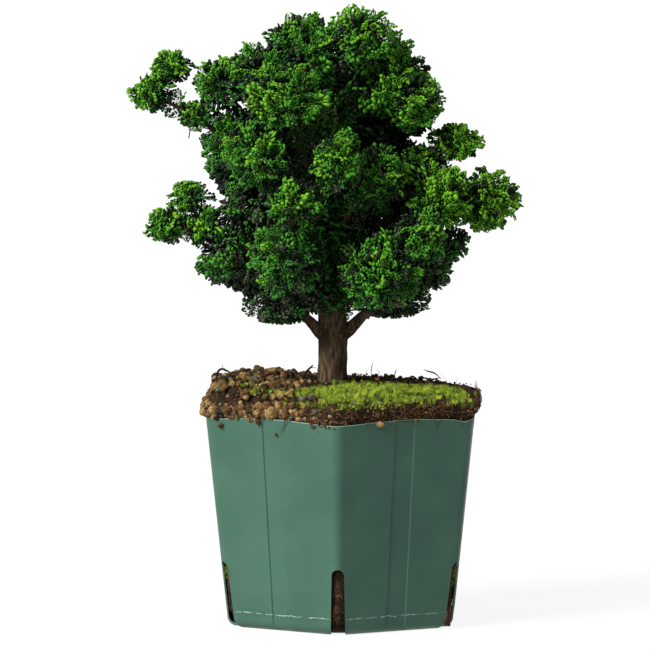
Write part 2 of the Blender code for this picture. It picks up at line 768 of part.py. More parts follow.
def grow_lobe(lobe, limbs, seed):
    """The sprays of one lobe: most straight out of its core, some on a twig."""
    dice = random.Random(seed)
    pieces = []
    count = SPRAYS_ON_SMALL_LOBE if lobe.size < SMALL_LOBE else SPRAYS_ON_LOBE
    for i, direction in enumerate(directions(count, seed)):
        if lobe.reach(direction) < LEAST_SPACE * lobe.ellipsoid_reach(direction):
            continue
        if i % TWIG_EVERY == TWIG_FIRST:
            add_twig(pieces, lobe, limbs, direction, dice)
        else:
            add_spray(pieces, lobe, limbs, direction, dice.uniform(*SPRAY_TIPS), dice)
    if (lobe.centre.xy - CROWN_AXIS).length > OUTER_LOBE:
        add_outer_spray(pieces, lobe, limbs)
    return pieces


def near_box(path, low, high):
    """Whether a limb's box meets another box."""
    spots = np.array([p[:] for p, _ in path])
    thick = max(r for _, r in path) + 2 * MM
    return bool((spots.max(0) + thick > low).all() and (spots.min(0) - thick < high).all())


def make_bough(name, path, trunk, bark):
    """A bough, cut at its foot to stand clear of the trunk."""
    bough = tube("bough_" + name, path, BOUGH_SIDES)
    combine(bough, [tube("cutter", trunk, TRUNK_SIDES, fatter=BOUGH_CUT, level_foot=True)], "DIFFERENCE")
    keep_one_body(bough)
    return finish(bough, bark)


def make_mass(name, lobes, stems, limbs, other_stems, seed, foliage):
    """One mass of foliage: its cores and stems, cut clear of every limb, and the sprays on them."""
    cores = [make_core(lobe, seed + k) for k, lobe in enumerate(lobes)]
    mass = cores.pop()
    combine(mass, cores + [tube("stem", path, STEM_SIDES) for path in stems], "UNION", "MANIFOLD")
    spots = np.array([v.co[:] for v in mass.data.vertices])
    low, high = spots.min(0), spots.max(0)
    cutters = []
    for limb, path in limbs.items():
        if near_box(path, low, high):
            sides = TRUNK_SIDES if limb == "trunk" else BOUGH_SIDES
            cutters.append(tube("cutter", path, sides, fatter=LIMB_CUT, longer=LIMB_END_CUT))
    for path in other_stems:
        if near_box(path, low, high):
            cutters.append(tube("cutter", path, STEM_SIDES, fatter=STEM_CUT, longer=LIMB_END_CUT))
    combine(mass, cutters, "DIFFERENCE", "MANIFOLD")
    pieces = []
    around = limb_arrays(list(limbs.values()) + other_stems)
    for k, lobe in enumerate(lobes):
        pieces += grow_lobe(lobe, around, seed + k)
    combine(mass, pieces, "UNION", "MANIFOLD")
    keep_one_body(mass)
    mass.name = "foliage_" + name
    return finish(mass, foliage, smooth=False)


def make_tree(bark, foliage):
    trunk = trunk_path()
    lobes = make_lobes()
    limbs, stems = {"trunk": trunk}, {}
    for name, (height, radius, bow, _) in MASSES.items():
        own = [lobe for lobe in lobes if lobe.mass == name]
        path = trunk
        if height is not None:
            path = bough_path(trunk, height, radius, bow, own[0])
            limbs[name] = path
        tip, tip_radius = path[-1]
        stems[name] = stem_paths(own, tip, tip_radius, (tip - path[-2][0]).normalized())

    finish(tube("trunk", trunk, TRUNK_SIDES, level_foot=True), bark)
    for name, path in limbs.items():
        if name != "trunk":
            make_bough(name, path, trunk, bark)
    for number, name in enumerate(MASSES):
        own = [lobe for lobe in lobes if lobe.mass == name]
        others = [path for mass, paths in stems.items() if mass != name for path in paths]
        make_mass(name, own, stems[name], limbs, others, 10 * number, foliage)


def main():
    clear_scene()
    materials = make_materials()
    make_pot(materials["pot_plastic"])
    ball = make_root_ball(materials["soil"])
    make_moss(materials["moss"], ball)
    make_tree(materials["bark"], materials["foliage"])


main()
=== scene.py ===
"""The looks of a dwarf cypress in a six-sided nursery pot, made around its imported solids.

Metres, +Z up. The tree's front faces -Y, and one corner of the pot points to the front. The sizes at the
top are those of the solids: each mass of foliage grows on from its bough by the same rule, carried to
finer twigs and sprays.
"""

import json
import math
import random

import bmesh
import bpy
import numpy as np
from mathutils import Matrix, Vector, noise

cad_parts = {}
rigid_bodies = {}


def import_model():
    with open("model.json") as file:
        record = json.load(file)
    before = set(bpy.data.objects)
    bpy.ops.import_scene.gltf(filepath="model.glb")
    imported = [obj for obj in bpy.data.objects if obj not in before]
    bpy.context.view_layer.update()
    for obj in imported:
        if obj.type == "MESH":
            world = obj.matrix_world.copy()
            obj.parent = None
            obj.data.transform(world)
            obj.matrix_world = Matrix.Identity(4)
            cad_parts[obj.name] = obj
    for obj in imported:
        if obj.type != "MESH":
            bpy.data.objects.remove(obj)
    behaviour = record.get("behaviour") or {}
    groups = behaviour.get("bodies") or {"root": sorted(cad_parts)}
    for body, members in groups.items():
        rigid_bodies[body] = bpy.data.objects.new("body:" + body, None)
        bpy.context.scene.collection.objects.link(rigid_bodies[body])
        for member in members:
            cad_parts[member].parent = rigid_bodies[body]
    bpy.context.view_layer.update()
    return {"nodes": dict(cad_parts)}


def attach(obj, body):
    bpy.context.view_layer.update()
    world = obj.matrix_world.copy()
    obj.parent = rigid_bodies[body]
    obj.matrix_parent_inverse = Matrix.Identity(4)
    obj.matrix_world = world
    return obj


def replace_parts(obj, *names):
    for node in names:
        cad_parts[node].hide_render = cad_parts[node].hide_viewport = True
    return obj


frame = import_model()

MM = 0.001
BODY = "root"

# The camera: its target, distance, pitch down and lens on a 36 mm sensor
CAMERA_TARGET = (-0.0128, 0, 0.2217)
CAMERA_DISTANCE = 5.976
CAMERA_PITCH = math.radians(5.5)
CAMERA_LENS, CAMERA_SENSOR = 443.08, 36
CAMERA_CLIP = 200

# Light: where each sun stands, its strength and how wide it is. The floor is a lit white table
KEY_FROM, KEY_STRENGTH, KEY_WIDTH = (-0.66, -0.5, 0.62), 7.2, math.radians(35)
TOP_FROM, TOP_STRENGTH, TOP_WIDTH = (-0.1, 0, 1), 0.8, math.radians(90)
SKY_STRENGTH = 0.16
FLOOR_SIZE = 160
FLOOR_COLOUR = (0.08, 0.08, 0.08)
FLOOR_GLOW = 0.9
WHITE = (1, 1, 1, 1)

# The pot: a six-sided slit pot, one corner to the front, slightly turned
POT_SIDES = 6
POT_FRONT_CORNER = math.radians(-92)
POT_HEIGHT = 158 * MM
POT_FLATS_RIM = 198.8 * MM
POT_FLATS_FOOT = 168.1 * MM
POT_FOOT_RADIUS = 8 * MM
POT_CORNER_RIM = 10 * MM
POT_CORNER_FOOT = 6 * MM
SHARPEST_CORNER = 1 * MM
POT_WALL = 1.2 * MM
POT_FLOOR = 1.6 * MM
BAND_WIDTH = 15.4 * MM
BAND_DEPTH = 0.8 * MM
BAND_EDGE = 0.7 * MM
SLIT_WIDTH_TOP = 9.2 * MM
SLIT_WIDTH_FOOT = 10.8 * MM
SLIT_HEIGHT = 50 * MM
SLIT_REACH_IN = 20 * MM
POT_CORNER_STEPS = 9
POT_SIDE_STEPS = 8
POT_FOOT_STEPS = 6
POT_RINGS = 18
RIM_STRIP = 0.45 * MM
RIM_ARCH = 1.9 * MM
RIM_WAVE = 0.35 * MM
RIM_NOTCH_ANGLE, RIM_NOTCH_WIDTH, RIM_NOTCH_DEPTH = math.radians(-35.5), math.radians(2.2), 2.2 * MM
CREASE_HEIGHT = 12.5 * MM
CREASE_STEP = 0.25 * MM
SLIT_ARC_STEPS = 14
SHARP_FROM = math.radians(24)
POT_COLOUR, CUT_EDGE_COLOUR = (0.034, 0.085, 0.058), (0.2, 0.3, 0.25)

# The root ball. It leans out over the rim on the left and the right, and not in front
BALL_GAP = 1.7 * MM
BALL_FLOOR = 2.1 * MM
BALL_FOOT = POT_HEIGHT - 2.5 * MM
BALL_OVER_FRONT, BALL_OVER_LEFT, BALL_OVER_RIGHT = 0.3 * MM, 3.5 * MM, 4 * MM
BALL_OUT_FROM, BALL_OUT_TO = 0.2, 0.5
BALL_SHOULDER = 3 * MM
BALL_EDGE_FALL, BALL_EDGE_FALL_LEFT = 1.5 * MM, 9 * MM
SOIL_LEVEL = 179 * MM
SOIL_EDGE_DROP = 5 * MM
SOIL_TILT = 0.015
SOIL_REACH = 100 * MM
SOIL_FLAT_RADIUS = 14 * MM
MOUND = ((-64 * MM, 2 * MM), 42 * MM, 8 * MM)
SOIL_LUMPS, SOIL_LUMP_SIZE = 2.2 * MM, 13 * MM
SOIL_GRAIN, SOIL_GRAIN_SIZE = 0.5 * MM, 2.5 * MM
SOIL_SUNK = 0.2 * MM
SIDE_LUMPS, SIDE_LUMP_SIZE = 1.6 * MM, 8 * MM
SIDE_GRAIN, SIDE_GRAIN_SIZE = 0.8 * MM, 2.2 * MM
BALL_STEPS_ROUND = 300
BALL_RINGS_IN_POT, BALL_RINGS_SIDE, BALL_RINGS_TOP = 14, 26, 52
SOIL_COLOURS = ((0.007, 0.0035, 0.0015), (0.03, 0.0145, 0.006), (0.1, 0.054, 0.022))

# Granules, crumbs, roots and bits on the root ball
GRANULE_SIZES = (1.1 * MM, 4.3 * MM)
CRUMB_SIZES = (0.5 * MM, 1.1 * MM)
GRANULES_ON_TOP, GRANULES_ON_SIDE = 560, 520
CRUMBS = 1500
GRANULE_SKEW = 1.6
GRANULE_GRAIN = 1.3 * MM
ROOT_FIBRES = 420
FIBRE_LENGTHS, FIBRE_RADII, FIBRE_STAND = (6, 22), (0.15, 0.45), (0.1, 1.6)
GRANULE_EDGE = (-48 * MM, -12 * MM)
GRANULES_FROM_TRUNK, CRUMBS_FROM_TRUNK = 15 * MM, 13 * MM
GRANULE_COLOURS = {
    "tan": ((0.14, 0.075, 0.024), (0.34, 0.22, 0.08), (0.6, 0.44, 0.2)),
    "brown": ((0.045, 0.021, 0.008), (0.15, 0.075, 0.027), (0.3, 0.175, 0.072)),
    "dark": ((0.01, 0.006, 0.004), (0.04, 0.022, 0.011), (0.11, 0.065, 0.032)),
    "grey": ((0.05, 0.047, 0.035), (0.14, 0.13, 0.09), (0.3, 0.28, 0.2)),
    "olive": ((0.04, 0.035, 0.009), (0.12, 0.1, 0.027), (0.26, 0.2, 0.06)),
}
SHARES_ON_TOP = (("tan", 0.2), ("brown", 0.44), ("dark", 0.66), ("grey", 0.72), ("olive", 1.0))
SHARES_ON_SIDE = (("tan", 0.36), ("brown", 0.76), ("dark", 0.9), ("grey", 0.97), ("olive", 1.0))

# Colours of roots and litter: the dark of each and its pale strips
FIBRE_COLOURS = ((0.045, 0.022, 0.009), (0.19, 0.1, 0.04))
DEAD_TWIG_BARK = ((0.012, 0.009, 0.008), (0.05, 0.035, 0.028))
CURLED_BARK_COLOURS = ((0.03, 0.014, 0.008), (0.1, 0.05, 0.025))
DEAD_LEAF_COLOURS = ((0.035, 0.012, 0.007), (0.11, 0.045, 0.024))
BUD_SCALE_COLOURS = ((0.16, 0.02, 0.025), (0.3, 0.07, 0.06))

# Small things round the soil, in millimetres: grains and crumbs on the pot's front, each grain with its
# place across, height and radius; roots that hang over the rim, each with its place across, height and
# length; and dead twigs, curled bark and a dead leaf, each with its radius and the places along it
SPILLED_GRAINS = (
    (-89.5, 153, 2.4), (-62, 157.5, 2.6), (-62.5, 162, 2.4),
    (-49, 149, 1.4), (27, 158, 3.2), (55, 159.5, 1.6),
)
SPILLED_CRUMBS = 34
SPILL_ACROSS, SPILL_HEIGHTS = (-17 * MM, 5 * MM), (155.5 * MM, 162 * MM)
HANGING_ROOTS = ((19.5, 161, 10), (27, 161, 9), (30, 161, 5), (-42, 162, 15), (-20, 161, 6), (66, 161, 6))
DEAD_TWIGS = (
    (0.9, ((-94.2, 0, 177), (-93, 0, 186), (-90, 0, 188.7), (-86.7, 0, 187.6), (-83, 0, 185.7))),
    (0.5, ((-90, 0, 188.5), (-89, 0, 191.5))),
    (0.85, ((-32, -8, 181), (-27, -8, 187.2), (-21.7, -8, 192.4))),
    (0.45, ((-23.5, -8, 190.6), (-19.5, -8, 190.4))),
    (0.35, ((22.3, 4, 179), (21.8, 4, 188), (23.5, 4, 194))),
    (0.4, ((39, 12, 176), (39.6, 12, 184.5), (41, 12, 186.5))),
    (0.7, ((48, 12, 177), (52, 10, 182), (56, 8, 180.6))),
    (0.75, ((57, 12, 181.6), (62, 10, 180.8), (66.5, 8, 179.8), (72.5, 4, 181.6))),
    (0.5, ((61, 10, 187.4), (64.4, 9, 186), (69, 6, 185), (74, 4, 181))),
)
CURLED_BARK = (1.9, ((93, -46, 166), (96, -46, 172), (95.5, -46, 176.5), (92, -46, 179.5), (87, -46, 180.5)))
DEAD_LEAF = (2.6, ((79.3, -52.6, 2), (78.6, -53.2, 8), (79.2, -52.8, 13), (80.4, -52, 18)))
SMALL_LEAF = (1.8, ((76.8, -54, 2), (77.2, -54, 6), (78, -53.6, 11)))
BUD_SCALES = (
    (0.9, ((-32, -14, 178), (-31.4, -14, 181), (-30, -14, 184))),
    (0.8, ((27, 2, 178), (27.8, 2, 180.5), (26.6, 2, 183))),
)

# Moss
MOSS_THICKNESS = 3.2 * MM
MOSS_CENTRE = (32 * MM, -55 * MM)
MOSS_HALF = (62 * MM, 27 * MM)
MOSS_TURN = math.radians(24)
MOSS_WAVES = ((3, 1, 0.13), (7, 0, 0.06))
MOSS_LUMPS, MOSS_LUMP_SIZE = 1.6 * MM, 9 * MM
MOSS_SUNK = 1.5 * MM
SHOOT_LEAN = 0.28
LIME_ABOVE, GREEN_ABOVE, TONE_SPREAD = 0.45, 0.24, 0.35
MOSS_RINGS, MOSS_STEPS = 22, 120
MOSS_GROUND = ((0.03, 0.045, 0.01), (0.1, 0.17, 0.022))
MOSS_COLOURS = {
    "lime": ((0.16, 0.26, 0.014), (0.48, 0.6, 0.05)),
    "green": ((0.042, 0.08, 0.006), (0.15, 0.22, 0.016)),
    "dull": ((0.018, 0.012, 0.004), (0.06, 0.045, 0.01)),
}
SHOOT_LEAVES = 5
MOSS_SHOOTS, DRAPED_SHOOTS, SLIT_SHOOTS = 5600, 900, 90
MOSS_SHOOT_HEIGHT = (2.8 * MM, 5.6 * MM)
DRAPE_SPREAD = 0.12
DRAPE_ANGLES = (math.radians(-116), math.radians(-31))
SLIT_MOSS = ((math.radians(-152), 36 * MM, 49 * MM), (math.radians(-32), 30 * MM, 44 * MM))

# Thin patches of moss on the soil: the middle, half-sizes, turn and number of shoots of each
MOSS_PATCHES = (
    ((-46 * MM, -66 * MM), (30 * MM, 8 * MM), math.radians(-16), 420),
    ((-89 * MM, -30 * MM), (5 * MM, 4 * MM), 0, 40),
    ((-46 * MM, 16 * MM), (7 * MM, 4 * MM), 0, 50),
    ((-72 * MM, -42 * MM), (6 * MM, 4 * MM), 0, 40),
    ((16 * MM, -22 * MM), (26 * MM, 9 * MM), math.radians(14), 240),
)

# The trunk: height, sideways place and radius of each station, in millimetres
TRUNK_STATIONS = (
    (179.3, (-6.6, 0), 12.2),
    (186, (-7, 0), 11.2),
    (200, (-7, 0), 10.8),
    (213, (-6.8, 0), 11.2),
    (225, (-7, 0), 11.2),
    (247, (-9, 1), 9.2),
    (282, (-16, 2), 7.8),
    (323, (-22, 2), 6.0),
    (360, (-20, 0), 4.6),
    (390, (-13, -1), 3.4),
    (410, (-9, -2), 2.6),
)
TRUNK_STEP, TRUNK_SIDES, TRUNK_RELIEF = 1.1 * MM, 84, 0.75 * MM
BOUGH_STEP, BOUGH_SIDES, BOUGH_RELIEF = 1.6 * MM, 22, 0.4 * MM
LIMB_STEP = 11 * MM
BUTTRESSES, BUTTRESS_HEIGHT, BUTTRESS_SIZE = 5, 11 * MM, 0.9 * MM
RIDGE_SIZE, PLATE_SIZE, GRAIN_SIZE = 3.2 * MM, 9 * MM, 1.1 * MM
TRUNK_BARK = ((0.045, 0.028, 0.014), (0.125, 0.083, 0.043))
BOUGH_BARK = ((0.05, 0.031, 0.017), (0.13, 0.083, 0.047))
TWIG_BARK = ((0.05, 0.03, 0.018), (0.1, 0.06, 0.038))

# Each mass: the height at which its bough leaves the trunk, that bough's radius, how far it bows, how sunny
# its foliage is painted, and its lobes, each a centre and three half-sizes, in millimetres
MASSES = {
    "top": (None, 0, 0, 0.1, (((-26, -4, 427), (37, 42, 29)), ((12, -12, 435), (34, 32, 27)))),
    "top_left": (332, 4.2, 5, 0.06, (((-55, -6, 408), (31, 40, 32)), ((-89, -4, 402), (23, 30, 22)))),
    "top_right": (356, 4.0, -4, 0.34, (((32, 2, 409), (33, 40, 36)), ((55, -14, 389), (22, 36, 23)))),
    "far_left_high": (303, 4.0, -6, 0.14, (
        ((-110, -2, 380), (19, 16, 10)), ((-141, -6, 396), (19, 20, 15)), ((-127, 0, 415), (18, 18, 13)))),
    "left_mid": (285, 4.2, 5, 0.02, (((-74, -2, 360), (34, 40, 36)),)),
    "left_inner": (269, 3.6, -8, -0.04, (((-65, 4, 315), (29, 38, 31)),)),
    "front_left_high": (320, 3.6, 3, 0.16, (
        ((-41, -55, 394), (34, 32, 30)), ((-59, -51, 354), (32, 32, 28)))),
    "front_centre": (285, 3.6, 6, 0.14, (((25, -39, 334), (28, 28, 31)), ((-5, -75, 353), (22, 18, 30)))),
    "right_pad_high": (298, 3.8, -5, 0.5, (((61, 2, 343), (22, 26, 13)), ((84, -4, 359), (22, 28, 14)))),
    "right_far": (264, 4.8, 4, 0.6, (((69, -24, 321), (30, 34, 27)), ((104, -8, 316), (32, 32, 25)))),
    "left_far_low": (253, 4.2, 8, 0.14, (
        ((-101, -12, 296), (22, 20, 17)), ((-129, -10, 297), (21, 21, 14)), ((-114, -4, 318), (22, 18, 12)))),
    "left_low": (235, 5.0, 5, -0.12, (((-77, -12, 276), (35, 40, 27)),)),
    "front_low_left": (265, 3.8, -4, 0, (((-41, -61, 279), (30, 31, 34)), ((-33, -73, 320), (26, 20, 20)))),
    "bottom_left": (211, 7.0, 0, -0.2, (((-45, -12, 243), (34, 38, 19)),)),
    "right_low": (237, 5.0, -5, -0.04, (((55, -10, 274), (33, 40, 30)), ((79, -6, 284), (17, 22, 16)))),
    "front_low_right": (251, 4.0, 3, 0.1, (((29, -55, 267), (34, 34, 33)), ((57, -55, 293), (23, 22, 24)))),
    "bottom_right": (212, 7.2, 0, -0.2, (((37, -6, 246), (34, 38, 18)),)),
    "back_high": (345, 4.0, 6, 0.06, (((-25, 49, 395), (42, 40, 33)), ((25, 45, 384), (42, 42, 38)))),
    "back_left": (318, 3.8, 5, 0.04, (((-61, 47, 343), (40, 40, 38)),)),
    "back_right": (289, 4.2, 6, 0.04, (((-3, 65, 335), (42, 38, 40)), ((49, 51, 325), (37, 40, 31)))),
    "back_low_left": (244, 4.2, 4, -0.08, (((-51, 45, 273), (41, 42, 38)),)),
    "back_low": (229, 4.8, 4, -0.08, (((13, 57, 270), (42, 40, 40)), ((53, 35, 274), (31, 38, 29)))),
}
LOBE_OVERLAP = 8 * MM
FULLNESS = 1.06
BOUGH_TIP_SHARE = 0.5
BOUGH_COLLAR = 1.35
BOUGH_SAG = 0.0875
STEM_SHARE = 0.9
STEM_TAPER = 0.8
GOLDEN_ANGLE = math.pi * (3 - math.sqrt(5))

# Foliage: each lobe carries tufts, each tuft some fan-shaped sprays, each spray many blunt scaly tips
TUFT_SPACING = 17 * MM
TUFT_RADIUS = 9.5 * MM
TUFT_SIZES = (0.65, 1.45)
TUFT_REACH = (0.8, 1.0)
TUFT_WAVE, TUFT_WAVE_SIZE = 0.18, 24 * MM
TUFT_UPWARD = 0.35
TUFT_ROOT = 1.7
TUFT_SPREAD = (0.99, 0.15)
TWIG_RADII, TWIG_SIDES, TWIG_SAG = (1.2 * MM, 0.9 * MM, 0.6 * MM), 4, 0.12
SPRAYS_IN_TUFT = 7
UNDER_SPRAYS_IN_TUFT = 2
UNDER_LENGTH = 0.72
SPRAYS_IN_SHELTER = 5
SHELTERED_SHARE = 0.42
CLEAR_RAYS, CLEAR_DEPTH = 26, 10 * MM
LEAST_SPACE = 0.5
OPEN_AT = 13 * MM
LEAST_OPEN = 0.86
SPRAY_SHAPES = 16
COARSE_SHAPES = 8
SPRAY_PAIRS = (0.44, 0.6, 0.74)
COARSE_PAIRS = (0.4, 0.65)
SPRAY_CUP = (0.2, 0.75)
SPRAY_BEND = 0.15
SPRAY_AXIS_RADIUS = 0.03
BRANCHLET_ANGLES, BRANCHLET_CLOSING = (46, 64), 9
BRANCHLET_REACH, BRANCHLET_SHORTENING = 0.36, 0.07
BRANCHLET_RISE = 0.35
TIP_SIZES = (0.88, 1.14)
TIP_LENGTH = 0.2
TIP_WIDTH = 0.165
TIP_THICKNESS = 0.12
TIP_WIDEST = 0.76
COARSE_TIP = 1.35
INNER_SPRAYS_ON_LOBE, INNER_SPRAYS_BEHIND = 30, 84
BEHIND = 30 * MM
INNER_SHARE = (0.4, 0.8)
INNER_SHARE_BEHIND = (0.7, 1.0)
LEAST_INNER_LENGTH = 9 * MM
TRUNK_SPRAY_STEP, BOUGH_SPRAY_STEP = 0.55 * MM, 0.9 * MM
TRUNK_SPRAY_LENGTH = (14 * MM, 29 * MM)
BOUGH_SPRAY_LENGTH = (7 * MM, 13 * MM)
BOUGH_DEEP = 0.6
PLACES_KEPT_CLEAR = 4
LIMB_SPRAY_LEAN = 0.5
BARE_TRUNK = 231 * MM
LIMB_CLEARANCE = 1.0 * MM
MOST_FACES = 190000

# How sunny a spray stands, which sets its colour as painted light and shade: rays towards the light with
# their weights, and the depth of foliage that dims it
LIGHT_RAYS = (
    ((-0.64, -0.48, 0.6), 3),
    ((-0.2, -0.6, 0.8), 2),
    ((-0.9, 0.1, 0.5), 1.5),
    ((0, 0, 1), 2),
    ((0, -1, 0.15), 2),
    ((0.6, -0.7, 0.4), 1),
    ((0.5, 0.5, 0.7), 0.7),
    ((-0.3, 0.8, 0.5), 0.7),
    ((1, 0, 0), 0.4),
    ((0, -0.6, -0.8), 0.4),
)
DIMMING_DEPTH = 16 * MM
# Sprays that face up are painted paler, as painted light from above
SUN_OF_RISE = 0.1
CROWN_AXIS = (-12 * MM, 0)
INWARD_SHADE, INWARD_AT = 0.3, 30 * MM
SUN_PATCH, SUN_PATCH_SIZE = 0.1, 26 * MM
TUFT_SUN_SPREAD, SPRAY_SUN_SPREAD = 0.05, 0.07
# Sprays under each tuft are painted darker, as painted shade
UNDER_SUN = -0.3

# Foliage colours, linear, each with the share of the sprays that are sunnier: painted light and shade, the
# sunniest sprays the palest green and the most sheltered the darkest
FOLIAGE_COLOURS = (
    ("lime", 0.07, (0.088, 0.24, 0.0105)),
    ("bright", 0.27, (0.042, 0.165, 0.01)),
    ("leaf", 0.54, (0.024, 0.112, 0.012)),
    ("deep", 0.79, (0.016, 0.064, 0.012)),
    ("shade", 1.0, (0.012, 0.034, 0.012)),
)
OLIVE = (0.058, 0.068, 0.041)
OLIVE_FROM, OLIVE_SHARE = 0.56, 0.52
# Near-black for the sprays inside each lobe: painted shade that makes the dark gaps between the tufts
INNER_SHADE_COLOUR = (0.004, 0.01, 0.0035)


# Arrays of triangles


class Heap:
    """Triangles of many small shapes, gathered and made into one mesh at the end."""

    def __init__(self):
        self.points = []
        self.faces = []
        self.count = 0
        self.face_count = 0

    def add(self, points, faces):
        points = np.asarray(points, dtype=np.float64).reshape(-1, 3)
        faces = np.asarray(faces, dtype=np.int64).reshape(-1, 3)
        self.points.append(points)
        self.faces.append(faces + self.count)
        self.count += len(points)
        self.face_count += len(faces)

    def add_many(self, points, faces):
        """Adds shapes that share their faces: points has one row of points for each shape."""
        shapes, each = points.shape[:2]
        starts = np.arange(shapes)[:, None, None] * each
        self.add(points.reshape(-1, 3), (faces[None] + starts).reshape(-1, 3))

    def make(self, name, material, slot, smooth=True):
        """One piece of all that was added."""
        points, faces = np.concatenate(self.points), np.concatenate(self.faces)
        return make_piece(name, points, faces, material, smooth)


def make_piece(name, points, faces, material, smooth=True):
    """A piece of triangles that rides on the body."""
    mesh = bpy.data.meshes.new(name)
    mesh.vertices.add(len(points))
    mesh.vertices.foreach_set("co", np.asarray(points, dtype=np.float32).ravel())
    mesh.loops.add(faces.size)
    mesh.loops.foreach_set("vertex_index", faces.astype(np.int32).ravel())
    mesh.polygons.add(len(faces))
    mesh.polygons.foreach_set("loop_start", np.arange(0, faces.size, 3, dtype=np.int32))
    mesh.polygons.foreach_set("use_smooth", np.full(len(faces), smooth))
    mesh.update(calc_edges=True)
    return as_piece(name, mesh, material)


def add_object(name, data):
    """An object in the scene."""
    obj = bpy.data.objects.new(name, data)
    bpy.context.scene.collection.objects.link(obj)
    return obj


def as_piece(name, mesh, material):
    obj = add_object(name, mesh)
    mesh.materials.append(material)
    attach(obj, BODY)
    return obj


def closed_mesh(shape, name):
    """The mesh of a closed shape, its faces turned outward."""
    bmesh.ops.recalc_face_normals(shape, faces=shape.faces)
    mesh = bpy.data.meshes.new(name)
    shape.to_mesh(mesh)
    shape.free()
    return mesh


def outward(angle):
    """The level direction at an angle round +Z."""
    return Vector((math.cos(angle), math.sin(angle), 0))


def loose_way(dice, spread=1):
    """A random vector with no favoured direction."""
    return Vector([dice.gauss(0, spread) for _ in range(3)])


def grid_faces(rows, columns):
    """Triangles between rings of points."""
    faces = []
    for row in range(rows - 1):
        for column in range(columns):
            ahead = (column + 1) % columns
            a, b = row * columns, (row + 1) * columns
            faces.append((a + column, a + ahead, b + ahead))
            faces.append((a + column, b + ahead, b + column))
    return faces


def closed_rings(points, rings, columns, foot, top):
    """Points and triangles of rings, closed by a fan to a point at each end."""
    faces = grid_faces(rings, columns)
    last = (rings - 1) * columns
    points = points + [foot, top]
    for k in range(columns):
        ahead = (k + 1) % columns
        faces.append((ahead, k, len(points) - 2))
        faces.append((last + k, last + ahead, len(points) - 1))
    return points, faces


def tube_shape(path, sides, relief=None, level_foot=False):
    """Points and triangles of a closed limb along a path of (point, radius)."""
    aside = Vector((0, 1, 0))
    points = []
    for i, (point, radius) in enumerate(path):
        ahead = path[min(i + 1, len(path) - 1)][0] - path[max(i - 1, 0)][0]
        if level_foot and i == 0:
            ahead = Vector((0, 0, 1))
        ahead.normalize()
        side = (aside - ahead * aside.dot(ahead)).normalized()
        up = ahead.cross(side)
        aside = side
        for k in range(sides):
            angle = 2 * math.pi * k / sides
            out = side * math.cos(angle) + up * math.sin(angle)
            points.append(point + out * (radius + (relief(point, out, radius) if relief else 0)))
    return closed_rings(points, len(path), sides, path[0][0], path[-1][0])


def smooth_path(stations, step):
    """Points and radii along a smooth curve through stations of (point, radius)."""
    spots = [np.array([*p, r]) for p, r in stations]
    lengths = [0.0]
    for a, b in zip(spots, spots[1:]):
        lengths.append(lengths[-1] + float(np.linalg.norm(b[:3] - a[:3])))
    count = max(2, round(lengths[-1] / step))
    made = []
    for k in range(count + 1):
        along = lengths[-1] * k / count
        i = min(len(spots) - 2, max(0, int(np.searchsorted(lengths, along, side="right")) - 1))
        t = (along - lengths[i]) / (lengths[i + 1] - lengths[i])
        before = spots[max(0, i - 1)]
        after = spots[min(len(spots) - 1, i + 2)]
        start, end = (spots[i + 1] - before) / 2, (after - spots[i]) / 2
        made.append(
            (2 * t**3 - 3 * t**2 + 1) * spots[i] + (t**3 - 2 * t**2 + t) * start
            + (3 * t**2 - 2 * t**3) * spots[i + 1] + (t**3 - t**2) * end
        )
    return [(Vector(m[:3]), float(m[3])) for m in made]


def fbm(point, size, octaves=3):
    """Soft noise from about -1 to 1, with features of a size and finer ones on them."""
    return noise.fractal(Vector(point) / size, 1.0, 2.0, octaves)


# Materials


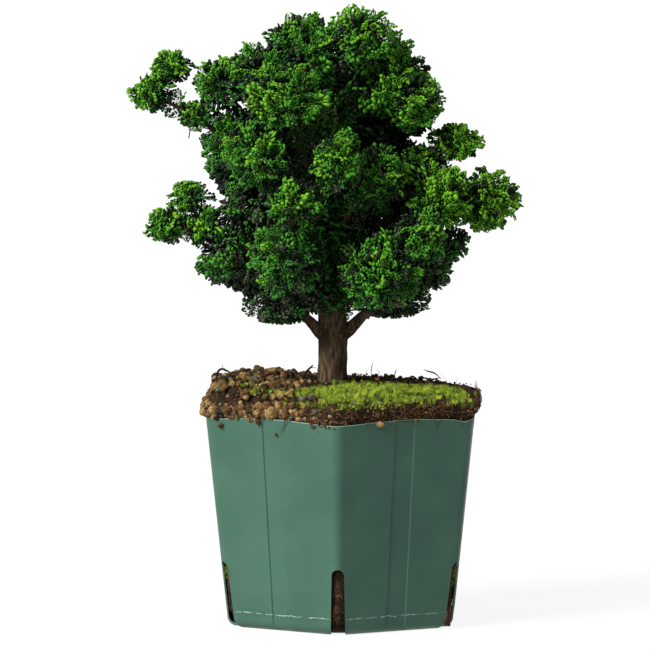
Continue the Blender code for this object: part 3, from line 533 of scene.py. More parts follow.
class Shader:
    """A material on one Principled shader, its nodes made by short calls."""

    def __init__(self, name, colour, roughness, specular=0.4):
        self.material = bpy.data.materials.new(name)
        self.material.use_nodes = True
        self.tree = self.material.node_tree
        self.shader = self.tree.nodes["Principled BSDF"]
        self.place = self.tree.nodes.new("ShaderNodeTexCoord").outputs["Object"]
        values = {"Base Color": colour, "Roughness": roughness, "Specular IOR Level": specular}
        for name, value in values.items():
            self.join(value, self.shader.inputs[name])

    def join(self, value, socket):
        """Sets a socket to a number or colour, or links it to another socket."""
        if isinstance(value, bpy.types.NodeSocket):
            self.tree.links.new(value, socket)
        elif isinstance(value, tuple) and len(value) == 3 and len(socket.default_value) == 4:
            socket.default_value = (*value, 1)
        else:
            socket.default_value = value

    def node(self, kind, **values):
        """A node of a kind, its inputs set or linked by their names."""
        made = self.tree.nodes.new("ShaderNode" + kind)
        for name, value in values.items():
            self.join(value, made.inputs[name.replace("_", " ")])
        return made

    def noise(self, size, detail=3, stretch=(1, 1, 1), roughness=0.55):
        """Noise from 0 to 1 with features of about this size."""
        place = self.node("Mapping", Vector=self.place, Scale=stretch).outputs["Vector"]
        texture = self.node("TexNoise", Vector=place, Scale=1 / size, Detail=detail, Roughness=roughness)
        return texture.outputs["Fac"]

    def height(self):
        return self.node("SeparateXYZ", Vector=self.place).outputs["Z"]

    def range(self, value, low, high, start=0.0, end=1.0):
        """The value between low and high, smoothly turned into start to end."""
        made = self.node("MapRange", Value=value, From_Min=low, From_Max=high, To_Min=start, To_Max=end)
        made.interpolation_type = "SMOOTHSTEP"
        return made.outputs["Result"]

    def math(self, operation, a, b=0.0):
        made = self.node("Math")
        made.operation = operation
        self.join(a, made.inputs[0])
        self.join(b, made.inputs[1])
        return made.outputs["Value"]

    def times(self, product, *others):
        for other in others:
            product = self.math("MULTIPLY", product, other)
        return product

    def mix(self, factor, a, b):
        made = self.node("Mix", Factor=factor)
        made.data_type = "RGBA"
        self.join(a, made.inputs[6])
        self.join(b, made.inputs[7])
        return made.outputs[2]

    def colour(self, value):
        self.join(value, self.shader.inputs["Base Color"])

    def roughness(self, value):
        self.join(value, self.shader.inputs["Roughness"])

    def bump(self, height, distance):
        made = self.node("Bump", Height=height, Distance=distance)
        self.join(made.outputs["Normal"], self.shader.inputs["Normal"])


def scaled(colour, factor):
    return tuple(c * factor for c in colour)


def foliage_material(name, colour):
    """Waxy scale leaves: one plain colour with a little change from leaf to leaf."""
    s = Shader(name, colour, 0.5, 0.14)
    s.colour(s.mix(s.range(s.noise(3.5 * MM, 2), 0.35, 0.65), scaled(colour, 0.8), scaled(colour, 1.2)))
    s.roughness(s.range(s.noise(6 * MM, 1), 0.3, 0.7, 0.42, 0.62))
    s.bump(s.noise(0.7 * MM, 1), 0.12 * MM)
    return s.material


def bark_material(name, colour, light):
    """Dark fibrous bark with paler strips, its crevices darker where the bump runs low: partly the bark's own
    darker furrows, partly painted shade.
    """
    s = Shader(name, colour, 0.9, 0.2)
    strips = s.noise(2.2 * MM, 4, (1, 1, 0.16), 0.65)
    patches = s.noise(9 * MM, 3, (1, 1, 0.5))
    tone = s.mix(s.range(strips, 0.36, 0.62), scaled(colour, 0.4), light)
    s.colour(s.mix(s.range(patches, 0.42, 0.68), tone, scaled(colour, 0.85)))
    s.roughness(s.range(patches, 0.3, 0.7, 0.8, 0.95))
    s.bump(s.math("ADD", strips, s.noise(0.6 * MM, 2, (1, 1, 0.4))), 0.7 * MM)
    return s.material


def soil_material(name, dark, middle, light, grain=2.4 * MM):
    """Loose soil: three browns in small patches, with a crumbly surface."""
    s = Shader(name, middle, 0.95, 0.15)
    patches = s.noise(grain * 3, 4, roughness=0.7)
    grains = s.noise(grain, 4, roughness=0.7)
    tone = s.mix(s.range(patches, 0.4, 0.62), dark, middle)
    s.colour(s.mix(s.range(grains, 0.52, 0.7), tone, light))
    s.roughness(s.range(grains, 0.3, 0.7, 0.86, 1.0))
    s.bump(s.math("ADD", grains, s.noise(grain / 4, 3)), 0.8 * MM)
    return s.material


def moss_material(name, low, high):
    s = Shader(name, high, 0.75, 0.2)
    s.colour(s.mix(s.range(s.noise(4 * MM, 3), 0.38, 0.62), low, high))
    s.roughness(s.range(s.noise(2 * MM, 1), 0.3, 0.7, 0.65, 0.85))
    s.bump(s.noise(0.8 * MM, 2), 0.3 * MM)
    return s.material


def pot_material(name, colour):
    """Thin satin plastic: fine scratches, a scraped crease near the foot, dust under the rim."""
    s = Shader(name, colour, 0.42, 0.2)
    height = s.height()
    clouds = s.noise(45 * MM, 3)
    tone = s.mix(s.range(clouds, 0.3, 0.7), scaled(colour, 0.9), scaled(colour, 1.1))
    scratches = s.range(s.noise(1.1 * MM, 5, (1, 1, 0.13), 0.75), 0.66, 0.74)
    tone = s.mix(s.times(scratches, 0.16), tone, scaled(colour, 2.1))
    low = s.range(height, 52 * MM, 6 * MM)
    scuffs = s.range(s.noise(2.4 * MM, 6, (1, 1, 2.5), 0.8), 0.62, 0.7)
    tone = s.mix(s.times(scuffs, low, 0.5), tone, (0.34, 0.42, 0.37))
    wander = s.times(s.math("SUBTRACT", s.noise(9 * MM, 4, roughness=0.7), 0.5), 3.2 * MM)
    from_crease = s.math("ABSOLUTE", s.math("SUBTRACT", s.math("ADD", height, wander), CREASE_HEIGHT))
    near = s.range(from_crease, 0.6 * MM, 0.15 * MM)
    broken = s.range(s.noise(4 * MM, 5, roughness=0.75), 0.4, 0.62)
    tone = s.mix(s.times(near, broken, 0.6), tone, (0.42, 0.5, 0.45))
    high = s.range(height, 140 * MM, 156 * MM)
    dust = s.range(s.noise(3 * MM, 6, roughness=0.8), 0.6, 0.72)
    tone = s.mix(s.times(dust, high, 0.45), tone, (0.14, 0.1, 0.06))
    s.colour(tone)
    s.roughness(s.range(s.noise(14 * MM, 4), 0.3, 0.7, 0.36, 0.52))
    s.bump(s.math("ADD", s.noise(30 * MM, 2), s.times(s.noise(0.9 * MM, 2), 0.03)), 0.9 * MM)
    return s.material


def plain_edge_material(name, colour):
    """Paler plastic on the cut edges of the rim and the slits."""
    s = Shader(name, colour, 0.6, 0.3)
    s.colour(s.mix(s.range(s.noise(3 * MM, 3), 0.35, 0.65), scaled(colour, 0.7), colour))
    s.bump(s.noise(0.8 * MM, 2), 0.1 * MM)
    return s.material


# The pot


def polar(radius, angle):
    return Vector((radius * math.cos(angle), radius * math.sin(angle)))


def pot_outline(flats, corner, band_depth):
    """A six-sided outline with round corners and a shallow recess down the middle of each side."""
    corner = max(corner, SHARPEST_CORNER)
    half_turn = math.pi / POT_SIDES
    middle = (flats / 2 - corner) / math.cos(half_turn)
    end, band = middle * math.sin(half_turn), BAND_WIDTH / 2 + BAND_EDGE
    plain = [(end - (end - band) * k / POT_SIDE_STEPS, 0) for k in range(1, POT_SIDE_STEPS)]
    half_side = plain + [(band, 0), (BAND_WIDTH / 2, band_depth)]
    side = [(-across, depth) for across, depth in half_side] + half_side[::-1]
    points = []
    for number in range(POT_SIDES):
        ahead = POT_FRONT_CORNER + 2 * half_turn * number
        for step in range(POT_CORNER_STEPS + 1):
            angle = ahead + half_turn * (2 * step / POT_CORNER_STEPS - 1)
            points.append(polar(middle, ahead) + polar(corner, angle))
        facing = ahead + half_turn
        for across, depth in side:
            points.append(polar(flats / 2 - depth, facing) + polar(across, facing + math.pi / 2))
    return points


def pot_share(height):
    return (height - POT_FOOT_RADIUS) / (POT_HEIGHT - POT_FOOT_RADIUS)


def flats_at(height):
    """The pot's width across its flats at a height above its underside."""
    return POT_FLATS_FOOT + (POT_FLATS_RIM - POT_FLATS_FOOT) * pot_share(height)


def pot_corner(height):
    return POT_CORNER_FOOT + (POT_CORNER_RIM - POT_CORNER_FOOT) * pot_share(height)


def from_corner(angle):
    """The angle from the pot's nearest corner."""
    turn = math.pi / POT_SIDES
    return abs((angle - POT_FRONT_CORNER + turn) % (2 * turn) - turn)


def rim_rise(point):
    """How far the hand-cut rim stands above its height at the corners: arched on each side, and wavy."""
    angle = math.atan2(point.y, point.x)
    arch = RIM_ARCH * (1 - math.cos(POT_SIDES * from_corner(angle))) / 2
    wave = RIM_WAVE * fbm((point.x, point.y, 0), 22 * MM, 2)
    notch = RIM_NOTCH_DEPTH * math.exp(-((angle - RIM_NOTCH_ANGLE) / RIM_NOTCH_WIDTH) ** 2)
    return arch + wave - notch


def pot_rings(inset, floor):
    """The pot's outlines from its foot to its rim, each moved in by inset."""
    rings = []
    radius = POT_FOOT_RADIUS
    for step in range(POT_FOOT_STEPS + 1):
        angle = math.radians(90) * step / POT_FOOT_STEPS
        height = floor + radius * (1 - math.cos(angle)) * (radius - floor) / radius
        pulled = inset + radius * (1 - math.sin(angle))
        band = BAND_DEPTH * step / POT_FOOT_STEPS
        outline = pot_outline(POT_FLATS_FOOT - 2 * pulled, POT_CORNER_FOOT - pulled, band)
        rings.append([Vector((p.x, p.y, height)) for p in outline])
    levels = [radius + (POT_HEIGHT - radius) * k / POT_RINGS for k in range(1, POT_RINGS)]
    levels += [CREASE_HEIGHT - CREASE_STEP, CREASE_HEIGHT + CREASE_STEP, POT_HEIGHT - RIM_STRIP, POT_HEIGHT]
    for height in sorted(levels):
        flats = flats_at(height) - 2 * inset
        if height < CREASE_HEIGHT and not inset:
            flats -= CREASE_STEP
        outline = pot_outline(flats, pot_corner(height) - inset, BAND_DEPTH)
        raised = 1 if height >= POT_HEIGHT - RIM_STRIP else 0
        rings.append([Vector((p.x, p.y, height + raised * rim_rise(p))) for p in outline])
    return rings


def on_front(x, height):
    """A place on one of the pot's two front sides, and the way that side faces."""
    to_right = x > polar(POT_FLATS_FOOT / 2, POT_FRONT_CORNER).x
    facing = POT_FRONT_CORNER + math.pi / POT_SIDES * (1 if to_right else -1)
    y = (flats_at(height) / 2 - x * math.cos(facing)) / math.sin(facing)
    return Vector((x, y, height)), outward(facing)


def slit_cutter(angle):
    """A slit at one corner, from under the pot up to a round end."""
    corner = (POT_FLATS_FOOT / 2 - POT_CORNER_FOOT) / math.cos(math.pi / POT_SIDES) + POT_CORNER_FOOT
    half = SLIT_WIDTH_TOP / 2
    outline = [(-SLIT_WIDTH_FOOT / 2, -POT_FLOOR), (SLIT_WIDTH_FOOT / 2, -POT_FLOOR)]
    for step in range(SLIT_ARC_STEPS + 1):
        turn = math.pi * step / SLIT_ARC_STEPS
        outline.append((half * math.cos(turn), SLIT_HEIGHT - half + half * math.sin(turn)))
    turned = Matrix.Rotation(angle, 3, "Z")
    shape = bmesh.new()
    ends = []
    for reach in (corner - SLIT_REACH_IN, corner + SLIT_REACH_IN):
        ends.append([shape.verts.new(turned @ Vector((reach, across, up))) for across, up in outline])
    for i in range(len(outline)):
        j = (i + 1) % len(outline)
        shape.faces.new((ends[0][i], ends[0][j], ends[1][j], ends[1][i]))
    shape.faces.new(ends[0])
    shape.faces.new(ends[1])
    return closed_mesh(shape, "slit")


def make_pot():
    plastic = pot_material("pot_plastic", POT_COLOUR)
    cut = plain_edge_material("pot_cut_edge", CUT_EDGE_COLOUR)
    outer, inner = pot_rings(0, 0), pot_rings(POT_WALL, POT_FLOOR)
    rings = outer + inner[::-1]
    shape = bmesh.new()
    rows = [[shape.verts.new(p) for p in ring] for ring in rings]
    for number, (low, high) in enumerate(zip(rows, rows[1:])):
        for i in range(len(low)):
            j = (i + 1) % len(low)
            face = shape.faces.new((low[i], low[j], high[j], high[i]))
            face.material_index = 1 if abs(number + 1 - len(outer)) <= 1 else 0
    shape.faces.new(rows[0][::-1])
    shape.faces.new(rows[-1])
    mesh = closed_mesh(shape, "pot_shell")
    pot = as_piece("pot_shell", mesh, plastic)
    mesh.materials.append(cut)
    cutters = bpy.data.collections.new("slits")
    bpy.context.scene.collection.children.link(cutters)
    for number in range(POT_SIDES):
        angle = POT_FRONT_CORNER + 2 * math.pi * number / POT_SIDES
        slit = bpy.data.objects.new("slit", slit_cutter(angle))
        slit.data.materials.append(cut)
        cutters.objects.link(slit)
    modifier = pot.modifiers.new("slits", "BOOLEAN")
    modifier.operation = "DIFFERENCE"
    modifier.operand_type = "COLLECTION"
    modifier.collection = cutters
    modifier.material_mode = "TRANSFER"
    graph = bpy.context.evaluated_depsgraph_get()
    made = bpy.data.meshes.new_from_object(pot.evaluated_get(graph))
    pot.modifiers.clear()
    pot.data = made
    for slit in list(cutters.objects):
        bpy.data.objects.remove(slit)
    bpy.data.collections.remove(cutters)
    made.shade_smooth()
    made.set_sharp_from_angle(angle=SHARP_FROM)
    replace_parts(pot, "pot")


# The root ball


def outline_reach(angle, half, corner):
    """Distance from the middle of the six-sided outline with round corners to its edge."""
    half_turn = math.pi / POT_SIDES
    off = from_corner(angle)
    middle = (half - corner) / math.cos(half_turn)
    flat = half / math.cos(half_turn - off)
    if flat * math.sin(half_turn - off) <= middle * math.sin(half_turn):
        return flat
    return middle * math.cos(off) + math.sqrt(corner * corner - (middle * math.sin(off)) ** 2)


def smooth_share(value, low, high):
    """The value between low and high, smoothly turned into 0 to 1."""
    share = min(1.0, max(0.0, (value - low) / (high - low)))
    return share * share * (3 - 2 * share)


def soil_height(x, y):
    """Height of the soil's top, before its roughness."""
    (mound_x, mound_y), mound_size, mound_height = MOUND
    away = math.hypot(x - mound_x, y - mound_y) / mound_size
    drop = SOIL_EDGE_DROP * (math.hypot(x, y) / SOIL_REACH) ** 2
    return SOIL_LEVEL + mound_height * math.exp(-away * away) - drop - SOIL_TILT * x


def trunk_foot():
    return Vector(TRUNK_STATIONS[0][1]) * MM


def ball_top_point(x, y):
    """A point of the soil's top: rough, but level where the trunk stands."""
    away = (Vector((x, y)) - trunk_foot()).length
    rough = min(1.0, max(0.0, (away - SOIL_FLAT_RADIUS) / SOIL_FLAT_RADIUS))
    lumps = SOIL_LUMPS * (0.4 + graininess(x)) * fbm((x, y, 0), SOIL_LUMP_SIZE, 4)
    height = soil_height(x, y) + lumps + SOIL_GRAIN * fbm((x, y, 1), SOIL_GRAIN_SIZE, 2)
    return Vector((x, y, SOIL_LEVEL + (height - SOIL_LEVEL) * rough - SOIL_SUNK))


def ball_edge(angle, half):
    """A place on the ball's outline at an angle round the pot's middle."""
    return polar(outline_reach(angle, half, POT_CORNER_RIM), angle)


def by_side(angle, front, left, right):
    """A value that changes round the ball: front and back alike, and one for its left and its right."""
    sideways = math.cos(angle)
    return front + (left - front) * max(0.0, -sideways) ** 3 + (right - front) * max(0.0, sideways) ** 3


def ball_side_point(angle, share):
    """A point of the cut side above the rim, from its foot at share 0 to its shoulder at share 1."""
    half = flats_at(POT_HEIGHT) / 2 - POT_WALL - 0.4 * MM
    free = smooth_share(share, BALL_OUT_FROM, BALL_OUT_TO)
    half += free * (POT_WALL + by_side(angle, BALL_OVER_FRONT, BALL_OVER_LEFT, BALL_OVER_RIGHT))
    half -= BALL_SHOULDER * max(0.0, share - 0.72) ** 2 / 0.28 ** 2
    spot = ball_edge(angle, half)
    top = ball_top_point(spot.x, spot.y).z
    top -= by_side(angle, BALL_EDGE_FALL, BALL_EDGE_FALL_LEFT, BALL_EDGE_FALL)
    height = BALL_FOOT + (top - BALL_FOOT) * share
    point = Vector((spot.x, spot.y, height))
    rough = SIDE_LUMPS * fbm(point, SIDE_LUMP_SIZE, 3) + SIDE_GRAIN * fbm(point, SIDE_GRAIN_SIZE, 2)
    return point + outward(angle) * (min(rough, SIDE_LUMPS) - 0.5 * MM) * free


def make_soil():
    """The soil itself, whole from the pot's floor to its top."""
    angles = [2 * math.pi * k / BALL_STEPS_ROUND for k in range(BALL_STEPS_ROUND)]
    rows = []
    for ring in range(BALL_RINGS_IN_POT):
        height = BALL_FLOOR + (BALL_FOOT - 2 * MM - BALL_FLOOR) * ring / (BALL_RINGS_IN_POT - 1)
        round_foot = max(0.0, 1 - height / POT_FOOT_RADIUS) ** 2 * POT_FOOT_RADIUS
        row = []
        for angle in angles:
            spot = ball_edge(angle, flats_at(height) / 2 - BALL_GAP - round_foot)
            inward = 0.8 * MM * (1 + fbm((spot.x, spot.y, height), 5 * MM, 3))
            shrunk = spot * (1 - max(0.0, inward) / spot.length)
            row.append(Vector((shrunk.x, shrunk.y, height)))
        rows.append(row)
    for ring in range(BALL_RINGS_SIDE):
        rows.append([ball_side_point(angle, ring / (BALL_RINGS_SIDE - 1)) for angle in angles])
    shoulder = rows[-1]
    foot = trunk_foot()
    for ring in range(1, BALL_RINGS_TOP):
        share = 1 - ring / BALL_RINGS_TOP
        row = []
        for edge in shoulder:
            spot = foot + (edge.xy - foot) * share
            point = ball_top_point(spot.x, spot.y)
            point.z += (edge.z - ball_top_point(edge.x, edge.y).z) * smooth_share(share, 0.8, 1)
            row.append(point)
        rows.append(row)
    ends = Vector((0, 0, BALL_FLOOR)), Vector((foot.x, foot.y, SOIL_LEVEL - SOIL_SUNK))
    points, faces = closed_rings([p for row in rows for p in row], len(rows), BALL_STEPS_ROUND, *ends)
    material = soil_material("soil", *SOIL_COLOURS)
    soil = make_piece("soil_body", np.array(points), np.array(faces), material)
    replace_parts(soil, "root_ball")


def pebble_shapes(count, detail, seed):
    """A few rough round stones of radius 1, for granules and crumbs."""
    shapes = []
    dice = random.Random(seed)
    for _ in range(count):
        shape = bmesh.new()
        bmesh.ops.create_icosphere(shape, subdivisions=detail, radius=1)
        seat = Vector((dice.uniform(0, 50), dice.uniform(0, 50), dice.uniform(0, 50)))
        flat = Vector((1, dice.uniform(0.75, 1), dice.uniform(0.65, 0.9)))
        points = []
        for vert in shape.verts:
            rough = 1 + 0.28 * noise.noise(vert.co * 1.1 + seat) + 0.14 * noise.noise(vert.co * 2.7 + seat)
            points.append([c * f * rough for c, f in zip(vert.co, flat)])
        shape.faces.ensure_lookup_table()
        shape.verts.index_update()
        faces = [[v.index for v in face.verts] for face in shape.faces]
        shape.free()
        shapes.append((np.array(points), np.array(faces)))
    return shapes


def turned_any_way(dice):
    """A rotation with no favoured direction."""
    axis = loose_way(dice).normalized()
    return np.array(Matrix.Rotation(dice.uniform(0, 2 * math.pi), 3, axis))


def add_pebble(heap, shapes, place, radius, dice):
    points, faces = dice.choice(shapes)
    heap.add(points @ turned_any_way(dice).T * radius + np.array(place[:]), faces)


def graininess(x):
    """How granular the ball is at a place: all granules on the left, few on the right."""
    left, right = GRANULE_EDGE
    return 0.14 + 0.86 * (1 - smooth_share(x, left, right))


def on_moss(x, y, margin=1.0):
    """Whether a place lies on the moss carpet."""
    away = Matrix.Rotation(-MOSS_TURN, 2) @ (Vector((x, y)) - Vector(MOSS_CENTRE))
    angle = math.atan2(away.y / MOSS_HALF[1], away.x / MOSS_HALF[0])
    return away.length < moss_reach(angle).length * margin


def moss_reach(angle):
    """The carpet's edge in its own axes."""
    edge = 1 + sum(size * math.sin(turns * angle + at) for turns, at, size in MOSS_WAVES)
    square = (abs(math.cos(angle)) ** 4 + abs(math.sin(angle)) ** 4) ** -0.25
    return Vector((MOSS_HALF[0] * math.cos(angle), MOSS_HALF[1] * math.sin(angle))) * square * edge


def moss_place(angle, share):
    return Vector(MOSS_CENTRE) + Matrix.Rotation(MOSS_TURN, 2) @ (moss_reach(angle) * share)


def random_top_place(dice):
    angle = dice.uniform(0, 2 * math.pi)
    edge = ball_edge(angle, POT_FLATS_RIM / 2 - BALL_SHOULDER)
    return edge * math.sqrt(dice.random())


def make_granules():
    """Hard clay granules and crumbs, thick on the left and thin elsewhere, in five colours."""
    heaps = {name: Heap() for name in GRANULE_COLOURS}
    dice = random.Random(41)
    granules = pebble_shapes(8, 2, 3)
    crumbs = pebble_shapes(6, 1, 4)

    def granule_radius():
        low, high = GRANULE_SIZES
        return low + (high - low) * dice.random() ** GRANULE_SKEW

    def put(place, radius, shapes, shares):
        draw = dice.random() * shares[-1][1]
        name = next(name for name, share in shares if draw <= share)
        add_pebble(heaps[name], shapes, place, radius, dice)

    made = 0
    while made < GRANULES_ON_TOP:
        spot = random_top_place(dice)
        if dice.random() > graininess(spot.x) or on_moss(*spot, 0.97):
            continue
        if (spot - trunk_foot()).length < GRANULES_FROM_TRUNK:
            continue
        radius = granule_radius() * (0.6 + 0.4 * graininess(spot.x))
        ground = ball_top_point(*spot)
        put(ground + Vector((0, 0, radius * dice.uniform(-0.1, 0.4))), radius, granules, SHARES_ON_TOP)
        made += 1
    made = 0
    while made < GRANULES_ON_SIDE:
        angle, share = dice.uniform(0, 2 * math.pi), dice.uniform(0.24, 0.98)
        place = ball_side_point(angle, share)
        if dice.random() > graininess(place.x):
            continue
        radius = granule_radius() * (0.5 + 0.5 * graininess(place.x))
        inward = outward(angle) * radius * dice.uniform(0, 0.6)
        put(place - inward, radius, granules, SHARES_ON_SIDE)
        made += 1
    for _ in range(CRUMBS):
        radius = dice.uniform(*CRUMB_SIZES)
        if dice.random() < 0.5:
            spot = random_top_place(dice)
            if on_moss(*spot, 0.9) or (spot - trunk_foot()).length < CRUMBS_FROM_TRUNK:
                continue
            place = ball_top_point(*spot) + Vector((0, 0, radius * 0.4))
        else:
            place = ball_side_point(dice.uniform(0, 2 * math.pi), dice.uniform(0.2, 1))
        put(place, radius, crumbs, SHARES_ON_SIDE)
    for x, height, radius in SPILLED_GRAINS:
        place, out = on_front(x * MM, height * MM)
        put(place + out * radius * 0.5 * MM, radius * MM, granules, SHARES_ON_SIDE[:2])
    for _ in range(SPILLED_CRUMBS):
        x, height = dice.gauss(*SPILL_ACROSS), dice.uniform(*SPILL_HEIGHTS)
        place, out = on_front(x, height)
        put(place + out * 0.3 * MM, dice.uniform(0.6, 1.5) * MM, crumbs, SHARES_ON_SIDE[1:3])
    for name, heap in heaps.items():
        material = soil_material("granules_" + name, *GRANULE_COLOURS[name], grain=GRANULE_GRAIN)
        heap.make("granules_" + name, material, "soil")


def fibre_path(start, ahead, length, radius, hold, dice, steps=8, wander=0.5):
    """A thin strand that wanders along, each of its points put back by hold."""
    path = [(hold(start), radius)]
    point = start.copy()
    for k in range(1, steps + 1):
        ahead = (ahead + loose_way(dice) * wander / math.sqrt(3)).normalized()
        point = hold(point + ahead * length / steps)
        path.append((point, radius * (1 - 0.7 * k / steps)))
    return path


def make_fibres():
    """Fine roots and bits of bark that stand out of the cut side."""
    heap = Heap()
    dice = random.Random(42)
    for _ in range(ROOT_FIBRES):
        angle, share = dice.uniform(0, 2 * math.pi), dice.uniform(0.25, 0.95)
        start = ball_side_point(angle, share)
        if dice.random() < graininess(start.x) - 0.3:
            continue
        stand = dice.uniform(*FIBRE_STAND) * MM

        def hold(p):
            turn = math.atan2(p.y, p.x)
            along = min(1.0, max(0.0, (p.z - BALL_FOOT) / (SOIL_LEVEL - 8 * MM - BALL_FOOT)))
            surface = ball_side_point(turn, along)
            out = Vector((math.cos(turn), math.sin(turn)))
            spot = out * (surface.xy.length + stand)
            return Vector((spot.x, spot.y, min(p.z, SOIL_LEVEL)))

        ahead = Vector((-math.sin(angle), math.cos(angle), dice.uniform(-1, 0.6))) * dice.choice((-1, 1))
        length, radius = dice.uniform(*FIBRE_LENGTHS) * MM, dice.uniform(*FIBRE_RADII) * MM
        heap.add(*tube_shape(fibre_path(start, ahead.normalized(), length, radius, hold, dice), 3))
    for x, height, length in HANGING_ROOTS:
        start, out = on_front(x * MM, height * MM)

        def over_rim(p):
            place, _ = on_front(p.x, min(p.z, POT_HEIGHT))
            return Vector((p.x, place.y, p.z)) + out * 0.7 * MM

        heap.add(*tube_shape(fibre_path(start, Vector((dice.uniform(-0.3, 0.3), 0, -1)), length * MM,
                                        dice.uniform(0.3, 0.5) * MM, over_rim, dice, 8, 0.3), 4))
    heap.make("root_fibres", bark_material("root_fibre", *FIBRE_COLOURS), "soil")


def flattened(normal):
    """A relief that turns a round limb into a thin blade that faces a way."""
    facing = Vector(normal).normalized()

    def relief(point, out, radius):
        ripple = 0.15 * noise.noise(point / (2 * MM))
        return radius * (ripple - 0.85 * abs(out.dot(facing)))

    return relief


def strand(shape, step=0.8 * MM):
    """A smooth path along the places of a small thing, thinner at both ends."""
    radius, places = shape
    last = len(places) - 1
    sizes = [radius * MM * (0.55 if k in (0, last) else 1) for k in range(last + 1)]
    return smooth_path([(Vector(place) * MM, size) for place, size in zip(places, sizes)], step)


def make_litter():
    """Dead twigs, curled bark, dead leaves and bud scales on the soil."""
    twig_relief = bark_relief(0.15 * MM)
    bark_blade, leaf_blade = flattened((0.3, -1, 0.1)), flattened((0.47, -0.88, 0))
    kinds = (
        ("dead_twigs", "dead_twig", DEAD_TWIGS, 7, twig_relief, DEAD_TWIG_BARK),
        ("curled_bark", "curled_bark", (CURLED_BARK,), 14, bark_blade, CURLED_BARK_COLOURS),
        ("dead_leaves", "dead_leaf", (DEAD_LEAF, SMALL_LEAF), 14, leaf_blade, DEAD_LEAF_COLOURS),
        ("bud_scales", "bud_scale", BUD_SCALES, 7, None, BUD_SCALE_COLOURS),
    )
    for name, material, shapes, sides, relief, colours in kinds:
        heap = Heap()
        for shape in shapes:
            heap.add(*tube_shape(strand(shape), sides, relief))
        heap.make(name, bark_material(material, *colours), "soil")


# Moss


def moss_surface(x, y, share):
    """Height of the carpet's top, thin at its edge."""
    thick = MOSS_THICKNESS * (1 - 0.8 * share ** 5) + MOSS_LUMPS * fbm((x, y, 2), MOSS_LUMP_SIZE, 3)
    return ball_top_point(x, y).z + thick - MOSS_SUNK


def make_moss():
    points = []
    for ring in range(MOSS_RINGS, 0, -1):
        share = ring / MOSS_RINGS
        for step in range(MOSS_STEPS):
            spot = moss_place(2 * math.pi * step / MOSS_STEPS, share)
            height = moss_surface(spot.x, spot.y, share)
            if ring == MOSS_RINGS:
                height = ball_top_point(*spot).z - 2 * MM
            points.append((spot.x, spot.y, height))
    faces = grid_faces(MOSS_RINGS, MOSS_STEPS)
    centre = Vector(MOSS_CENTRE)
    points.append((centre.x, centre.y, moss_surface(centre.x, centre.y, 0)))
    last = (MOSS_RINGS - 1) * MOSS_STEPS
    for k in range(MOSS_STEPS):
        faces.append((last + k, last + (k + 1) % MOSS_STEPS, len(points) - 1))
    material = moss_material("moss_ground", *MOSS_GROUND)
    carpet = make_piece("moss_carpet", np.array(points), np.array(faces), material)
    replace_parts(carpet, "moss")


def shoot_shape():
    """One moss shoot of height 1: narrow pointed leaves that lean out all round."""
    points, faces = [], []
    for k in range(SHOOT_LEAVES):
        out = outward(2 * math.pi * k / SHOOT_LEAVES)
        side = Vector((-out.y, out.x, 0))
        low, tip = 0.1 + 0.1 * (k % 2), 0.82 + 0.18 * (k % 2)
        base = len(points)
        points += [
            out * 0.02 + side * 0.05 + Vector((0, 0, low)), out * 0.02 - side * 0.05 + Vector((0, 0, low)),
            out * 0.2 + Vector((0, 0, low + 0.4)), out * 0.3 + Vector((0, 0, tip)),
        ]
        faces += [(base, base + 1, base + 2), (base + 1, base + 3, base + 2), (base, base + 2, base + 3),
                  (base, base + 3, base + 1)]
    return np.array([p[:] for p in points]), np.array(faces)


